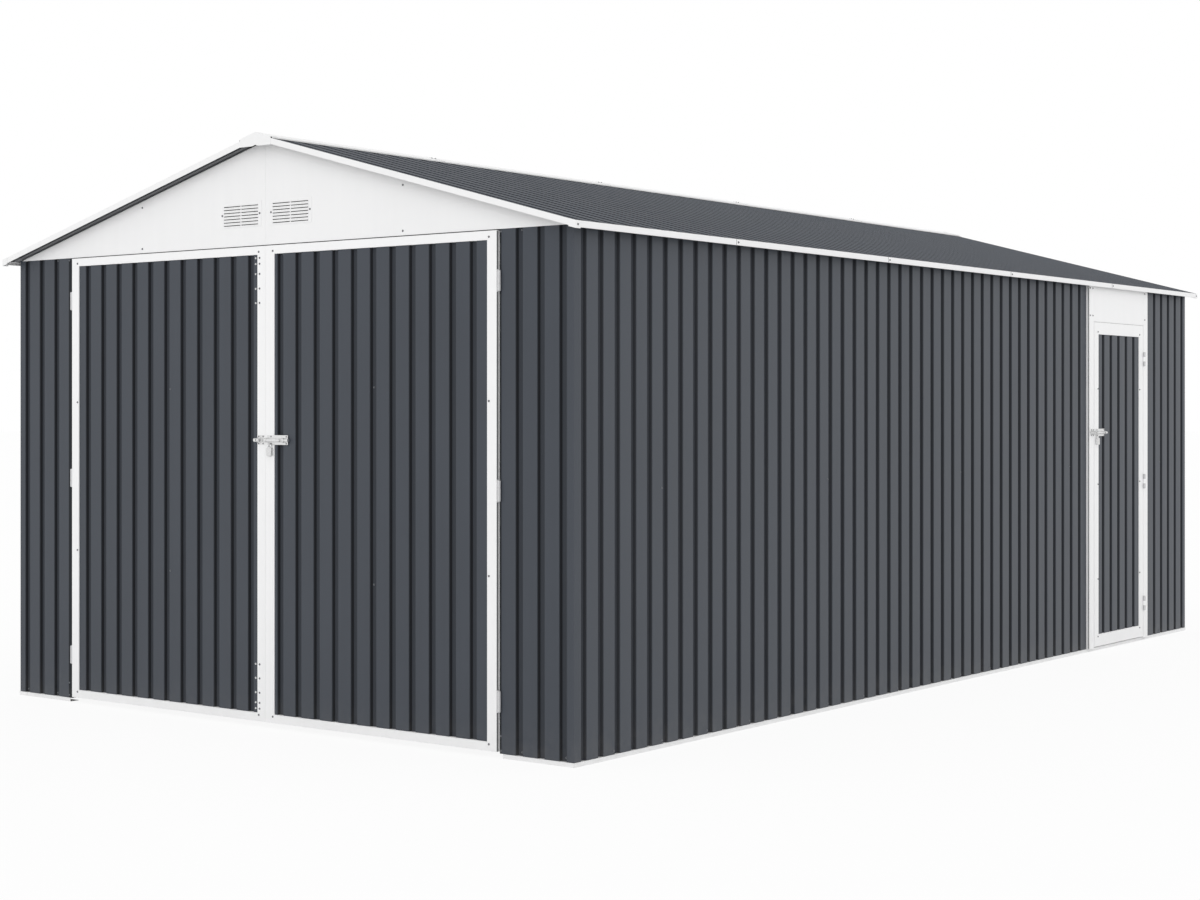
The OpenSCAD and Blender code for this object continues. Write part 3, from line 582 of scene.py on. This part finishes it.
def wall_screws():
    """Screws of the front stubs, and rows along the foot, middle and top of the other walls."""
    places = []

    def add(tree, x, y, z, outward):
        places.append((seated(tree, (x, y, z), outward), outward))

    for side, node in ((-1, "front_wall_left"), (1, "front_wall_right")):
        tree = sheet_tree(node)
        for x, z in STUB_SCREWS:
            add(tree, side * x, FRONT_FACE, z, OUT_FRONT)
    tree = sheet_tree("rear_wall")
    for every, heights in ((3, (ROW_LOW, ROW_HIGH)), (6, (ROW_MID,))):
        for x in flat_places(2 * RIGHT_FACE, every):
            for z in heights:
                add(tree, x, REAR_FACE, z, OUT_REAR)
    gap = (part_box("side_door_jambs")[0].y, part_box("side_door_jambs")[1].y)
    right = [sheet_tree("right_wall_front"), sheet_tree("right_wall_rear")]
    left = [sheet_tree("left_wall")]
    for face, outward, trees in ((RIGHT_FACE, OUT_RIGHT, right), (LEFT_FACE, OUT_LEFT, left)):
        rows = [(3, 1, (ROW_LOW, ROW_HIGH)), (12, 4, (ROW_MID,))]
        for every, first, heights in rows:
            for y in flat_places(2 * REAR_FACE, 1)[first::every]:
                y += FLAT_SHIFT
                if outward == OUT_RIGHT and gap[0] - 0.01 < y < gap[1] + 0.01:
                    continue
                for z in heights:
                    add(trees[-1 if y > gap[0] else 0], face, y, z, outward)
    screws("wall_screws", "garage", PAINTED_HEAD, places)


# Screws of the gables: distance from the middle, and heights; half the width of a vent, and how
# far its screws are from its own middle
GABLE_SCREW_X = 0.788
GABLE_SCREWS_Z = (2.070, 2.2546)
VENT_HALF = 0.125
VENT_SCREW = 0.1155


def gable_screws():
    """Two screws on each half of a gable, and one at each side of a vent."""
    places = []
    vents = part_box("gable_vents")
    vent_z = (vents[0].z + vents[1].z) / 2
    vent_x = vents[1].x - VENT_HALF
    for end, outward in ((-1, OUT_FRONT), (1, OUT_REAR)):
        for side in (-1, 1):
            places += [((side * GABLE_SCREW_X, end * -GABLE_FACE, z), outward)
                       for z in GABLE_SCREWS_Z]
            places += [((side * vent_x + reach, end * -VENT_FACE, vent_z), outward)
                       for reach in (-VENT_SCREW, VENT_SCREW)]
    screws("gable_screws", "garage", DULL_ZINC, places)


# Heights of the screws on the leaves' stiles, in the close column and on the braces
LEAF_ROWS = (2.022, 1.384, 0.704, 0.051)
COLUMN_ROWS = (1.996, 1.971, 1.928, 1.8655, 1.8043, 0.2664, 0.2065, 0.1455, 0.1026, 0.0775)
BRACE_ROWS = (1.441, 0.638)
# Distances of these screws from the line where the leaves meet
INNER_STILE = 0.0425
OUTER_STILE = 1.237
BRACE_MIDDLE = 0.612
COLUMN_ON_STILE = 0.0375
COLUMN_ON_PANEL = 0.0645


def front_leaf_screws():
    """Rows on the stiles and on the braces, and a close column on the left leaf's inner stile."""
    for name, side, body in (("left", -1, "left_leaf"), ("right", 1, "right_leaf")):
        def spot(reach, y, z):
            return (DOOR_X + side * reach, y, z), OUT_FRONT
        edge = [spot(INNER_STILE, LEAF_FACE, z) for z in LEAF_ROWS[::3]]
        edge += [spot(OUTER_STILE, LEAF_FACE, z) for z in LEAF_ROWS]
        tree = sheet_tree(name + "_door_panel")
        dark = [(seated(tree, place, outward), outward)
                for place, outward in (spot(BRACE_MIDDLE, PANEL_FACE, z) for z in BRACE_ROWS)]
        if side < 0:
            edge += [spot(COLUMN_ON_STILE, LEAF_FACE, z) for z in COLUMN_ROWS]
            bright = [spot(COLUMN_ON_PANEL, PANEL_FACE, z) for z in COLUMN_ROWS]
            screws(name + "_leaf_column_screws", body, ZINC, bright)
        screws(name + "_leaf_frame_screws", body, DULL_ZINC, edge)
        screws(name + "_leaf_panel_screws", body, PAINTED_HEAD, dark)


# Screws of the side leaf's stiles and of the surround: heights, and distances from the middle
SIDE_LEAF_ROWS = (0.079, 0.401, 0.932, 1.466, 1.785)
SIDE_STILE = 0.295
SURROUND_ROWS = (1.874, 2.026)
SURROUND_COLUMNS = (-0.3995, -0.3645, 0.370)


def side_door_screws():
    """Screws on the side leaf's stiles and at the top of its surround."""
    leaf = [((SIDE_LEAF_FACE, SIDE_DOOR_Y + reach, z), OUT_RIGHT)
            for reach in (-SIDE_STILE, SIDE_STILE) for z in SIDE_LEAF_ROWS]
    screws("side_leaf_screws", "side_leaf", DULL_ZINC, leaf)
    jamb = [((SIDE_LEAF_FACE, SIDE_DOOR_Y + reach, z), OUT_RIGHT)
            for reach in SURROUND_COLUMNS for z in SURROUND_ROWS]
    screws("side_jamb_screws", "garage", DULL_ZINC, jamb)


PLUG_HEIGHTS = (1.623, 1.595, 1.568, 0.302, 0.272, 0.242)


def jamb_plugs():
    """Dark plugs in the spare hinge holes of the jamb, and a black seal along its edge, which also
    stands as painted shade in the gap there.
    """
    low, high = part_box("side_door_jambs")
    bm = bmesh.new()
    for z in PLUG_HEIGHTS:
        disc(bm, facing(Vector((high.x - 0.0035, low.y, z)), OUT_FRONT), 0.0028, 0.0022, 0.0012, 12)
    # Seals at both edges of the jamb: black rubber that also paints the shade of the gap
    for y, away in ((low.y, -1), (high.y, 1)):
        span = sorted((y - away * 0.0004, y + away * 0.0010))
        block(bm, (high.x - 0.0045, span[0], low.z + 0.002),
              (high.x - 0.0012, span[1], WALL_TOP - 0.03), GARAGE_AXES, 0.0003, 1)
    make_piece("jamb_plugs_and_shade_seals", bm, "garage", BLACK_SEAL_AND_SHADE)


def white_seals():
    """Lip that closes the gap between the front leaves, and the one above the side leaf."""
    bm = bmesh.new()
    block(bm, (DOOR_X - 0.0020, LEAF_FACE + 0.0001, LEAF_LOW + 0.001),
          (DOOR_X + 0.0028, LEAF_FACE + 0.012, LEAF_TOP - 0.001), GARAGE_AXES, 0.0001, 1)
    make_piece("meeting_seal", bm, "right_leaf", DOOR_TRIM_PAINTED_LIGHT)
    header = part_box("side_door_header")
    bm = bmesh.new()
    block(bm, (SIDE_LEAF_FACE - 0.012, header[0].y + 0.002, header[0].z - 0.0034),
          (SIDE_LEAF_FACE - 0.0006, header[1].y - 0.002, header[0].z + 0.0003),
          GARAGE_AXES, 0.0004, 1)
    make_piece("header_seal", bm, "garage", DOOR_TRIM_PAINTED_LIGHT)


# Distance of the outer hinges' middles from a leaf's ends, and half the length of a hinge
HINGE_INSET = 0.195
HINGE_HALF = 0.040


def hinge_heights(low, high):
    """Middles of the three hinges of a leaf."""
    return [low + HINGE_INSET, (low + high) / 2, high - HINGE_INSET]


def leaf_edge_seals():
    """Grey seals on the hinged edges of the front leaves, between the hinges; their grey also
    stands as painted shade on the leaves' edges.
    """
    reach = HINGE_HALF + 0.004
    hinges = hinge_heights(LEAF_LOW, LEAF_TOP)
    stops = [LEAF_LOW + 0.002] + [z + step for z in hinges for step in (-reach, reach)]
    stops.append(LEAF_TOP - 0.002)
    for name, edge, side in (("left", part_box("left_door_frame")[0].x, -1),
                             ("right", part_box("right_door_frame")[1].x, 1)):
        bm = bmesh.new()
        span = sorted((edge - side * 0.0003, edge + side * 0.0010))
        for low, high in zip(stops[::2], stops[1::2]):
            block(bm, (span[0], LEAF_FACE + 0.0008, low), (span[1], LEAF_FACE + 0.0105, high),
                  GARAGE_AXES, 0.0003, 1)
        make_piece(name + "_edge_seal", bm, name + "_leaf", GREY_SEAL_AND_SHADE)


def doorway_shade_strips():
    """Near-black strips on the wall sheets beside the front doorway: painted shade where the sheets
    turn in at the opening beside the proud leaves.
    """
    bm = bmesh.new()
    left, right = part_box("front_wall_left")[1].x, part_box("front_wall_right")[0].x
    # Painted shade: near-black strips on the sheets at both sides of the doorway
    for low, high in ((left - 0.033, left - 0.0005), (right + 0.0005, right + 0.0075)):
        block(bm, (low, FRONT_FACE - 0.0006, WALL_LOW),
              (high, FRONT_FACE + 0.0004, WALL_TOP - 0.006), GARAGE_AXES, 0.0002, 1)
    make_piece("doorway_shade_strips", bm, "garage", SHADE_AND_FOAM_DARK)


# ---- trims of the roof ----


def trim_joints():
    """Places along the roof where one length of trim meets the next."""
    reach = ROOF_END - 0.03
    count = int(2 * reach / TRIM_PIECE)
    joints = [ROOF_END - i * TRIM_PIECE for i in range(1, count + 1)]
    return [y for y in joints if y > -reach]


def slope_block(bm, side, x1, x2, y1, y2, up, thick, bevel=0.0002):
    """Strip on a roof slope between two distances from the ridge line."""
    tilt = Matrix.Rotation(side * ROOF_SLOPE, 4, "Y")
    start = Vector((side * x1, 0, roof_top(x1)))
    length = (x2 - x1) / math.cos(ROOF_SLOPE)
    span = sorted((0, side * length))
    place = Matrix.Translation(start) @ tilt
    block(bm, (span[0], y1, up), (span[1], y2, up + thick), place, bevel, 1)


# Width of the foam beside the ridge cap, whose near-black also stands as a painted shadow line, and
# depth of a roof sheet with its grooves
CLOSURE_W = 0.015
SHEET_DEPTH = 0.014


def joint_seals():
    """Grey sealing strips over the joints of the ridge cap and of the eave trims."""
    bm = bmesh.new()
    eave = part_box("eave_trims")
    ridge_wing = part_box("ridge_cap")[1].x
    for y in trim_joints():
        for side in (-1, 1):
            slope_block(bm, side, 0.004, ridge_wing, y - 0.0012, y + 0.0012,
                        RIDGE_UP - 0.0003, 0.0007)
            out = side * eave[1].x
            span = sorted((out - side * 0.0004, out + side * 0.0006))
            block(bm, (span[0], y - 0.0012, eave[0].z + 0.0005), (span[1], y + 0.0012, EAVE_Z),
                  GARAGE_AXES, 0.0002, 1)
    make_piece("trim_joint_seals", bm, "garage", GREY_SEAL_AND_SHADE)


def roof_foam_and_shade_lines():
    """Near-black foam along the feet of the ridge cap, and behind the sloping trims under the
    sheets: real closures that also stand as painted shadow lines under the cap and trims.
    """
    bm = bmesh.new()
    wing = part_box("ridge_cap")[1].x
    for side in (-1, 1):
        # Painted shadow line along the ridge cap's feet, as near-black foam
        slope_block(bm, side, wing - 0.0004, wing + CLOSURE_W, 0.002 - ROOF_END, ROOF_END - 0.002,
                    -0.0004, 0.0022)
        for end in (-1, 1):
            y1, y2 = sorted((end * (ROOF_END - 0.0205), end * (ROOF_END - 0.0335)))
            slope_block(bm, side, 0.12, EAVE - 0.025, y1, y2, -SHEET_DEPTH - 0.0016, 0.0024)
    make_piece("roof_foam_and_shade_lines", bm, "garage", SHADE_AND_FOAM_DARK)


# Distances from the ridge line of the ridge cap's screws, and of the rows on the sheets
RIDGE_SCREW_X = 0.030
ROOF_ROWS_X = (0.14, 0.62, 1.14, 1.64)


def roof_screws():
    """Screws at the joints and ends of the roof trims, and painted rows on the sheets."""
    places = []
    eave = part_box("eave_trims")
    for y in trim_joints():
        for side, up in ((-1, UP_LEFT_SLOPE), (1, UP_RIGHT_SLOPE)):
            for reach in (-0.012, 0.012):
                foot = Vector((side * RIDGE_SCREW_X, y + reach, roof_top(RIDGE_SCREW_X)))
                places.append((foot + up * RIDGE_UP, up))
            face = Vector((side * eave[1].x, y + 0.014, EAVE_Z - 0.012))
            places.append((face, Vector((side, 0, 0))))
    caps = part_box("roof_end_caps")
    for end in (-1, 1):
        for side in (-1, 1):
            places.append((Vector((side * caps[1].x, end * (caps[1].y - 0.016), EAVE_Z - 0.014)),
                           Vector((side, 0, 0))))
    screws("roof_trim_screws", "garage", DULL_ZINC, places)
    dark = []
    for y in flat_places(2 * ROOF_END, 1)[5::11]:
        for side, up in ((-1, UP_LEFT_SLOPE), (1, UP_RIGHT_SLOPE)):
            for x in ROOF_ROWS_X:
                dark.append((Vector((side * x, y, roof_top(x))), up))
    screws("roof_sheet_screws", "garage", PAINTED_HEAD, dark)


# ---- hinges ----


# Radius of a hinge's barrel, and how far the side door's pins are from the middle of its leaf
BARREL_R = 0.007
SIDE_PIN = 0.3475


def hinge_caps():
    """Domed ends of the hinge pins."""
    bm = bmesh.new()
    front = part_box("right_door_hinges")
    front_y = front[0].y + BARREL_R
    front_x = front[1].x - BARREL_R
    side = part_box("side_door_hinges")
    side_x = side[1].x - BARREL_R
    side_y = SIDE_DOOR_Y + SIDE_PIN
    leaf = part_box("side_door_frame")
    for low, high, spots in (
            (LEAF_LOW, LEAF_TOP, ((2 * DOOR_X - front_x, front_y), (front_x, front_y))),
            (leaf[0].z, leaf[1].z, ((side_x, side_y),))):
        for z in hinge_heights(low, high):
            for x, y in spots:
                for end in (-1, 1):
                    tip = Vector((x, y, z + end * (HINGE_HALF - 0.0002)))
                    at = facing(tip, Vector((0, 0, end)))
                    disc(bm, at, 0.0066, 0.0060, 0.0010, 20)
                    disc(bm, at, 0.0046, 0.0024, 0.0018, 20, 0.0009)
    make_piece("hinge_pin_caps", bm, "garage", PALE_PLATE)


# ---- latches and padlocks, drawn with X along the bolt and -Y outwards ----

LATCH_X = 0.008
LATCH_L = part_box("front_latch")[1].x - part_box("front_latch")[0].x
PLATE_T = 0.002
PLATE_HALF = 0.0215
PLATE_LOW = 0.0195
BOLT_R = 0.007
BOLT_Y = -0.011
BOLT_START = 0.003
BOLT_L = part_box("front_bolt")[1].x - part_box("front_bolt")[0].x
GUIDE_L = 0.008
KNOB_X = LATCH_L - 0.013
PLATE_PAST = 0.008
EYE_X = 0.031
EYE_Z = -0.0165
KEEPER_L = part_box("front_keeper")[1].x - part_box("front_keeper")[0].x


def strap(bm, x, inner, thick, place):
    """Half round loop over the bolt with two feet on the plate."""
    before = set(bm.verts)
    low = Vector((x, BOLT_Y, inner))
    corners = [bm.verts.new(low + Vector(step)) for step in
               ((0, 0, 0), (GUIDE_L, 0, 0), (GUIDE_L, 0, thick), (0, 0, thick))]
    face = bm.faces.new(corners)
    turned = bmesh.ops.spin(bm, geom=[face], cent=(x, BOLT_Y, 0), axis=(1, 0, 0),
                            angle=math.pi, steps=16, use_merge=False)
    end = [g for g in turned["geom_last"] if isinstance(g, bmesh.types.BMFace)]
    for cap in ([face] if face.is_valid else []) + end:
        leg = bmesh.ops.extrude_face_region(bm, geom=[cap])
        moved = [g for g in leg["geom"] if isinstance(g, bmesh.types.BMVert)]
        bmesh.ops.translate(bm, vec=(0, -BOLT_Y - PLATE_T + 0.0004, 0), verts=moved)
    bmesh.ops.transform(bm, matrix=place, verts=[v for v in bm.verts if v not in before])
    for side in (-1, 1):
        span = sorted((side * inner, side * (inner + thick + 0.007)))
        block(bm, (x, -PLATE_T - 0.0016, span[0]), (x + GUIDE_L, -PLATE_T + 0.0002, span[1]),
              place, 0.0004, 2)
        rivet = place @ Vector((x + GUIDE_L / 2, -PLATE_T - 0.0015,
                                side * (inner + thick + 0.0036)))
        disc(bm, facing(rivet, place.to_3x3() @ OUT_FRONT), 0.0022, 0.0012, 0.0010, 10)


def plate_screws(name, body, place, columns):
    """Dull round heads in the corners of a plate."""
    bm = bmesh.new()
    for x in columns:
        for z in (-0.0145, 0.0155):
            button_screw(bm, place @ Vector((x, -PLATE_T, z)), place.to_3x3() @ OUT_FRONT)
    make_piece(name + "_screws", bm, body, DULL_ZINC)


def latch(name, body, place, replaced):
    """Plate with two loops for the bolt and a staple for the padlock."""
    bm = bmesh.new()
    end = LATCH_X + LATCH_L + PLATE_PAST
    rounded_plate(bm, (LATCH_X, -PLATE_T, -PLATE_LOW), (end, 0, PLATE_HALF), place, 0.002, 0.0005)
    for x in (LATCH_X + 0.002, LATCH_X + LATCH_L - GUIDE_L - 0.002):
        strap(bm, x, BOLT_R + 0.0005, 0.0018, place)
    eye_y = 0.001 + BOLT_Y + PLATE_T
    ring = place @ Matrix.Translation((EYE_X, eye_y + 0.001, EYE_Z))
    eye_ring(bm, ring)
    make_piece(name, bm, body, ZINC, replaced)
    plate_screws(name, body, place, (LATCH_X + 0.026, end - 0.009))


def eye_ring(bm, place):
    """Staple for the padlock: a turned ring across the plate and a web back to it."""
    at = place @ Matrix.Rotation(math.pi / 2, 4, "Y")
    ring = bmesh.ops.create_circle(bm, segments=8, radius=0.0011, cap_ends=False,
                                   matrix=at @ Matrix.Translation((0.0050, 0, 0))
                                   @ Matrix.Rotation(math.pi / 2, 4, "X"))["verts"]
    edges = edges_of(ring)
    centre = at @ Vector((0, 0, 0))
    axis = at.to_3x3() @ Vector((0, 0, 1))
    bmesh.ops.spin(bm, geom=edges, cent=centre, axis=axis, angle=2 * math.pi, steps=20,
                   use_merge=True)
    for z in (-0.0048, 0.0048):
        block(bm, (-0.0011, -0.0004, z - 0.0011), (0.0011, 0.0068, z + 0.0011), place, 0.0004, 1)


def end_ring(bm, x, place):
    """Short open barrel at the end of the keeper, which the tip of the bolt passes through."""
    before = set(bm.verts)
    inner, thick, length = BOLT_R + 0.0008, 0.0012, 0.0120
    corners = [bm.verts.new((x + along, BOLT_Y, inner + up)) for along, up in
               ((0, 0), (length, 0), (length, thick), (0, thick))]
    edges = [bm.edges.new((corners[i - 1], corners[i])) for i in range(4)]
    bmesh.ops.spin(bm, geom=edges, cent=(x, BOLT_Y, 0), axis=(1, 0, 0), angle=2 * math.pi,
                   steps=28, use_merge=True)
    bmesh.ops.transform(bm, matrix=place, verts=[v for v in bm.verts if v not in before])
    web_end = x + length + 0.002
    block(bm, (x + 0.0085, BOLT_Y + inner, -0.003), (web_end, -0.0004, 0.003), place, 0.0003, 1)


def keeper(name, body, place, replaced):
    """Plate with a loop and an end barrel that take the thrown bolt."""
    bm = bmesh.new()
    low = -LATCH_X - KEEPER_L
    loop = low + KEEPER_L / 2 - GUIDE_L / 2
    low += 0.008
    rounded_plate(bm, (low, -PLATE_T, -PLATE_LOW), (-LATCH_X, 0, PLATE_HALF), place, 0.002, 0.0005)
    strap(bm, loop, BOLT_R + 0.001, 0.0024, place)
    end_ring(bm, low - 0.010, place)
    make_piece(name, bm, body, ZINC, replaced)
    plate_screws(name, body, place, (low + 0.006, -LATCH_X - 0.006))


def bolt(name, body, place, replaced):
    """Round bolt with a chamfered tip and a turned knob."""
    bm = bmesh.new()
    rod = place @ Matrix.Translation((BOLT_START, BOLT_Y, 0)) @ Matrix.Rotation(math.pi / 2, 4, "Y")
    disc(bm, rod, BOLT_R - 0.0016, BOLT_R, 0.0020, 32)
    disc(bm, rod, BOLT_R, BOLT_R, BOLT_L - 0.0030, 32, 0.0020)
    disc(bm, rod, BOLT_R, BOLT_R - 0.0008, 0.0010, 32, BOLT_L - 0.0010)
    knob = place @ Matrix.Translation((BOLT_START + KNOB_X - 0.003, BOLT_Y, 0))
    knob = knob @ Matrix.Rotation(math.pi / 2, 4, "X")
    for low_r, high_r, start, depth in (
            (0.0032, 0.0032, 0.0060, 0.0060), (0.0036, 0.0045, 0.0118, 0.0012),
            (0.0045, 0.0045, 0.0130, 0.0040), (0.0045, 0.0034, 0.0170, 0.0016),
            (0.0034, 0.0014, 0.0186, 0.0004)):
        disc(bm, knob, low_r, high_r, depth, 24, start)
    make_piece(name, bm, body, ZINC, replaced)


def padlock(name, body, place, replaced):
    """Pressed body with eased edges, collars, a keyway below and a round shackle."""
    bow, shackle, leg = 0.0080, 0.0026, 0.004
    lock_y = 0.001 + BOLT_Y + PLATE_T
    centre = Vector((EYE_X, lock_y, EYE_Z - 0.004 + shackle + 0.0003 - bow))
    top = centre.z - leg
    width, height, depth = 0.029, 0.038, 0.0135
    bm = bmesh.new()
    at = place @ Matrix.Translation((centre.x, centre.y, top - height))
    lock_shell(bm, at, width, height, depth)
    for x in (-bow, bow):
        disc(bm, at @ Matrix.Translation((x, 0, height)), 0.0038, 0.0034, 0.0012, 20, -0.0004)
    disc(bm, at @ Matrix.Rotation(math.pi, 4, "X"), 0.0054, 0.0050, 0.0010, 24, -0.0004)
    make_piece(name + "_body", bm, body, LOCK_BODY, replaced)
    bm = bmesh.new()
    ring = bmesh.ops.create_circle(bm, segments=14, radius=shackle, cap_ends=False,
                                   matrix=Matrix.Translation((bow, 0, 0)))["verts"]
    edges = edges_of(ring)
    turned = bmesh.ops.spin(bm, geom=edges, cent=(0, 0, 0), axis=(0, -1, 0), angle=math.pi,
                            steps=24, use_merge=False)
    last = [g for g in turned["geom_last"] if isinstance(g, bmesh.types.BMEdge)]
    for loop in (edges, last):
        legs = bmesh.ops.extrude_edge_only(bm, edges=[e for e in loop if e.is_valid])
        verts = [g for g in legs["geom"] if isinstance(g, bmesh.types.BMVert)]
        bmesh.ops.translate(bm, vec=(0, 0, -leg - 0.003), verts=verts)
    bmesh.ops.holes_fill(bm, edges=[e for e in bm.edges if e.is_boundary], sides=0)
    bmesh.ops.transform(bm, matrix=place @ Matrix.Translation(centre), verts=bm.verts)
    piece = make_piece(name + "_shackle", bm, body, POLISHED)
    for polygon in piece.data.polygons:
        polygon.use_smooth = len(polygon.vertices) == 4


def lock_shell(bm, place, width, height, depth):
    """Body of a padlock: round outer corners, a shallow pressed panel front and back."""
    rounded = bmesh.new()
    verts = plain_box(rounded, (-width / 2, -depth / 2, 0), (width / 2, depth / 2, height))
    eased(rounded, verts, across_y, 0.006, 6)
    rounded.normal_update()
    flat_edges = {e for f in rounded.faces if abs(f.normal.y) > 0.9 for e in f.edges}
    eased(rounded, rounded.verts[:], lambda e: e in flat_edges, 0.0018, 3)
    rounded.normal_update()
    panels = [f for f in rounded.faces if abs(f.normal.y) > 0.99 and f.calc_area() > 4e-4]
    bmesh.ops.inset_individual(rounded, faces=panels, thickness=0.0028, depth=0.0)
    bmesh.ops.inset_individual(rounded, faces=panels, thickness=0.0006, depth=-0.0007)
    mesh = bpy.data.meshes.new("lock_shell")
    rounded.transform(place)
    rounded.to_mesh(mesh)
    rounded.free()
    bm.from_mesh(mesh)
    bpy.data.meshes.remove(mesh)


def fittings():
    """Both sets of latch, keeper, bolt and padlock."""
    keeper_low, keeper_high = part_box("front_keeper")
    height = (keeper_low.z + keeper_high.z) / 2
    front = Matrix.Translation((keeper_high.x + LATCH_X, LEAF_FACE, height))
    side_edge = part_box("side_keeper")[1].y + LATCH_X
    side = Matrix.Translation((SIDE_LEAF_FACE, side_edge, height))
    side = side @ Matrix.Rotation(math.pi / 2, 4, "Z")
    latch("front_latch_plate", "right_leaf", front, ["front_latch"])
    keeper("front_keeper_loop", "left_leaf", front, ["front_keeper"])
    bolt("front_bolt_rod", "front_bolt", front, ["front_bolt"])
    padlock("front_lock", "right_leaf", front, ["front_padlock"])
    latch("side_latch_plate", "side_leaf", side, ["side_latch"])
    keeper("side_keeper_loop", "garage", side, ["side_keeper"])
    bolt("side_bolt_rod", "side_bolt", side, ["side_bolt"])
    padlock("side_lock", "side_leaf", side, ["side_padlock"])


# ---- floor, light and camera ----


def seen_share(t, share):
    """Share of the white that camera, glossy and transmission rays see."""
    path = t.node("LightPath").outputs
    seen = t.math("MAXIMUM", path["Is Camera Ray"], path["Is Glossy Ray"])
    return t.math("MULTIPLY", t.math("MAXIMUM", seen, path["Is Transmission Ray"]), share)


# Radius of the floor and its depth under the garage, its grey, and the share of white seen on it
FLOOR_RADIUS = 120
FLOOR_DROP = 0.0012
FLOOR_GREY = (0.93, 0.93, 0.93, 1)
FLOOR_WHITE = 0.92


def pale_floor():
    """Wide floor that keeps the garage's shadow and is seen as nearly white."""
    bm = bmesh.new()
    bmesh.ops.create_circle(bm, cap_ends=True, segments=64, radius=FLOOR_RADIUS,
                            matrix=Matrix.Translation((0, 0, -FLOOR_DROP)))
    mesh = bpy.data.meshes.new("floor")
    bm.to_mesh(mesh)
    bm.free()
    floor = bpy.data.objects.new("floor", mesh)
    SCENE.collection.objects.link(floor)
    material = bpy.data.materials.new("pale_floor")
    material.use_nodes = True
    t = Tree(material.node_tree)
    t.tree.nodes.remove(t.tree.nodes["Principled BSDF"])
    ground = t.node("BsdfDiffuse", {"Color": FLOOR_GREY}).outputs[0]
    white = t.node("Emission", {"Color": (1, 1, 1, 1), "Strength": 1.0}).outputs[0]
    mixed = t.node("MixShader", {0: seen_share(t, FLOOR_WHITE), 1: ground, 2: white}).outputs[0]
    t.feed(t.tree.nodes["Material Output"].inputs["Surface"], mixed)
    mesh.materials.append(material)


# Strength of the light from all round and of the key; the key's spread in degrees, and where it
# comes from
SKY_LEVEL = 0.87
KEY_LEVEL = 0.60
KEY_SPREAD = 50
KEY_FROM = Vector((0.62, -0.85, 0.3))


def studio_light():
    """White surroundings with soft light, and one wide soft key."""
    world = bpy.data.worlds.new("studio")
    SCENE.world = world
    world.use_nodes = True
    t = Tree(world.node_tree)
    t.tree.nodes.clear()
    soft = t.node("Background", {"Color": (1, 1, 1, 1), "Strength": SKY_LEVEL}).outputs[0]
    white = t.node("Background", {"Color": (1, 1, 1, 1), "Strength": 1.0}).outputs[0]
    mixed = t.node("MixShader", {0: seen_share(t, 1.0), 1: soft, 2: white}).outputs[0]
    out = t.node("OutputWorld")
    t.feed(out.inputs["Surface"], mixed)
    lamp = bpy.data.lights.new("soft_key", "SUN")
    lamp.energy = KEY_LEVEL
    lamp.angle = math.radians(KEY_SPREAD)
    key = bpy.data.objects.new("soft_key", lamp)
    key.rotation_euler = KEY_FROM.to_track_quat("Z", "Y").to_euler()
    SCENE.collection.objects.link(key)


# Where the camera stands, its turn in degrees about the vertical, its lens in millimetres, and
# the vertical shift of its view as a share of the frame's width
CAMERA_PLACE = (6.4444, -9.2196, 1.353)
CAMERA_TURN = 37.08
CAMERA_LENS = 62.13
VIEW_SHIFT = -0.034166667


def set_camera():
    """Level camera that looks at the garage across its front right corner."""
    data = bpy.data.cameras.new("camera")
    data.sensor_width = 36
    data.lens = CAMERA_LENS
    data.shift_y = VIEW_SHIFT
    data.clip_end = 400
    camera = bpy.data.objects.new("camera", data)
    camera.location = CAMERA_PLACE
    camera.rotation_euler = (math.pi / 2, 0, math.radians(CAMERA_TURN))
    SCENE.collection.objects.link(camera)
    SCENE.camera = camera


set_camera()
studio_light()
pale_floor()
dress_nodes()
wall_screws()
gable_screws()
front_leaf_screws()
side_door_screws()
jamb_plugs()
white_seals()
leaf_edge_seals()
doorway_shade_strips()
joint_seals()
roof_foam_and_shade_lines()
roof_screws()
hinge_caps()
fittings()

SCENE.view_settings.view_transform = "Standard"
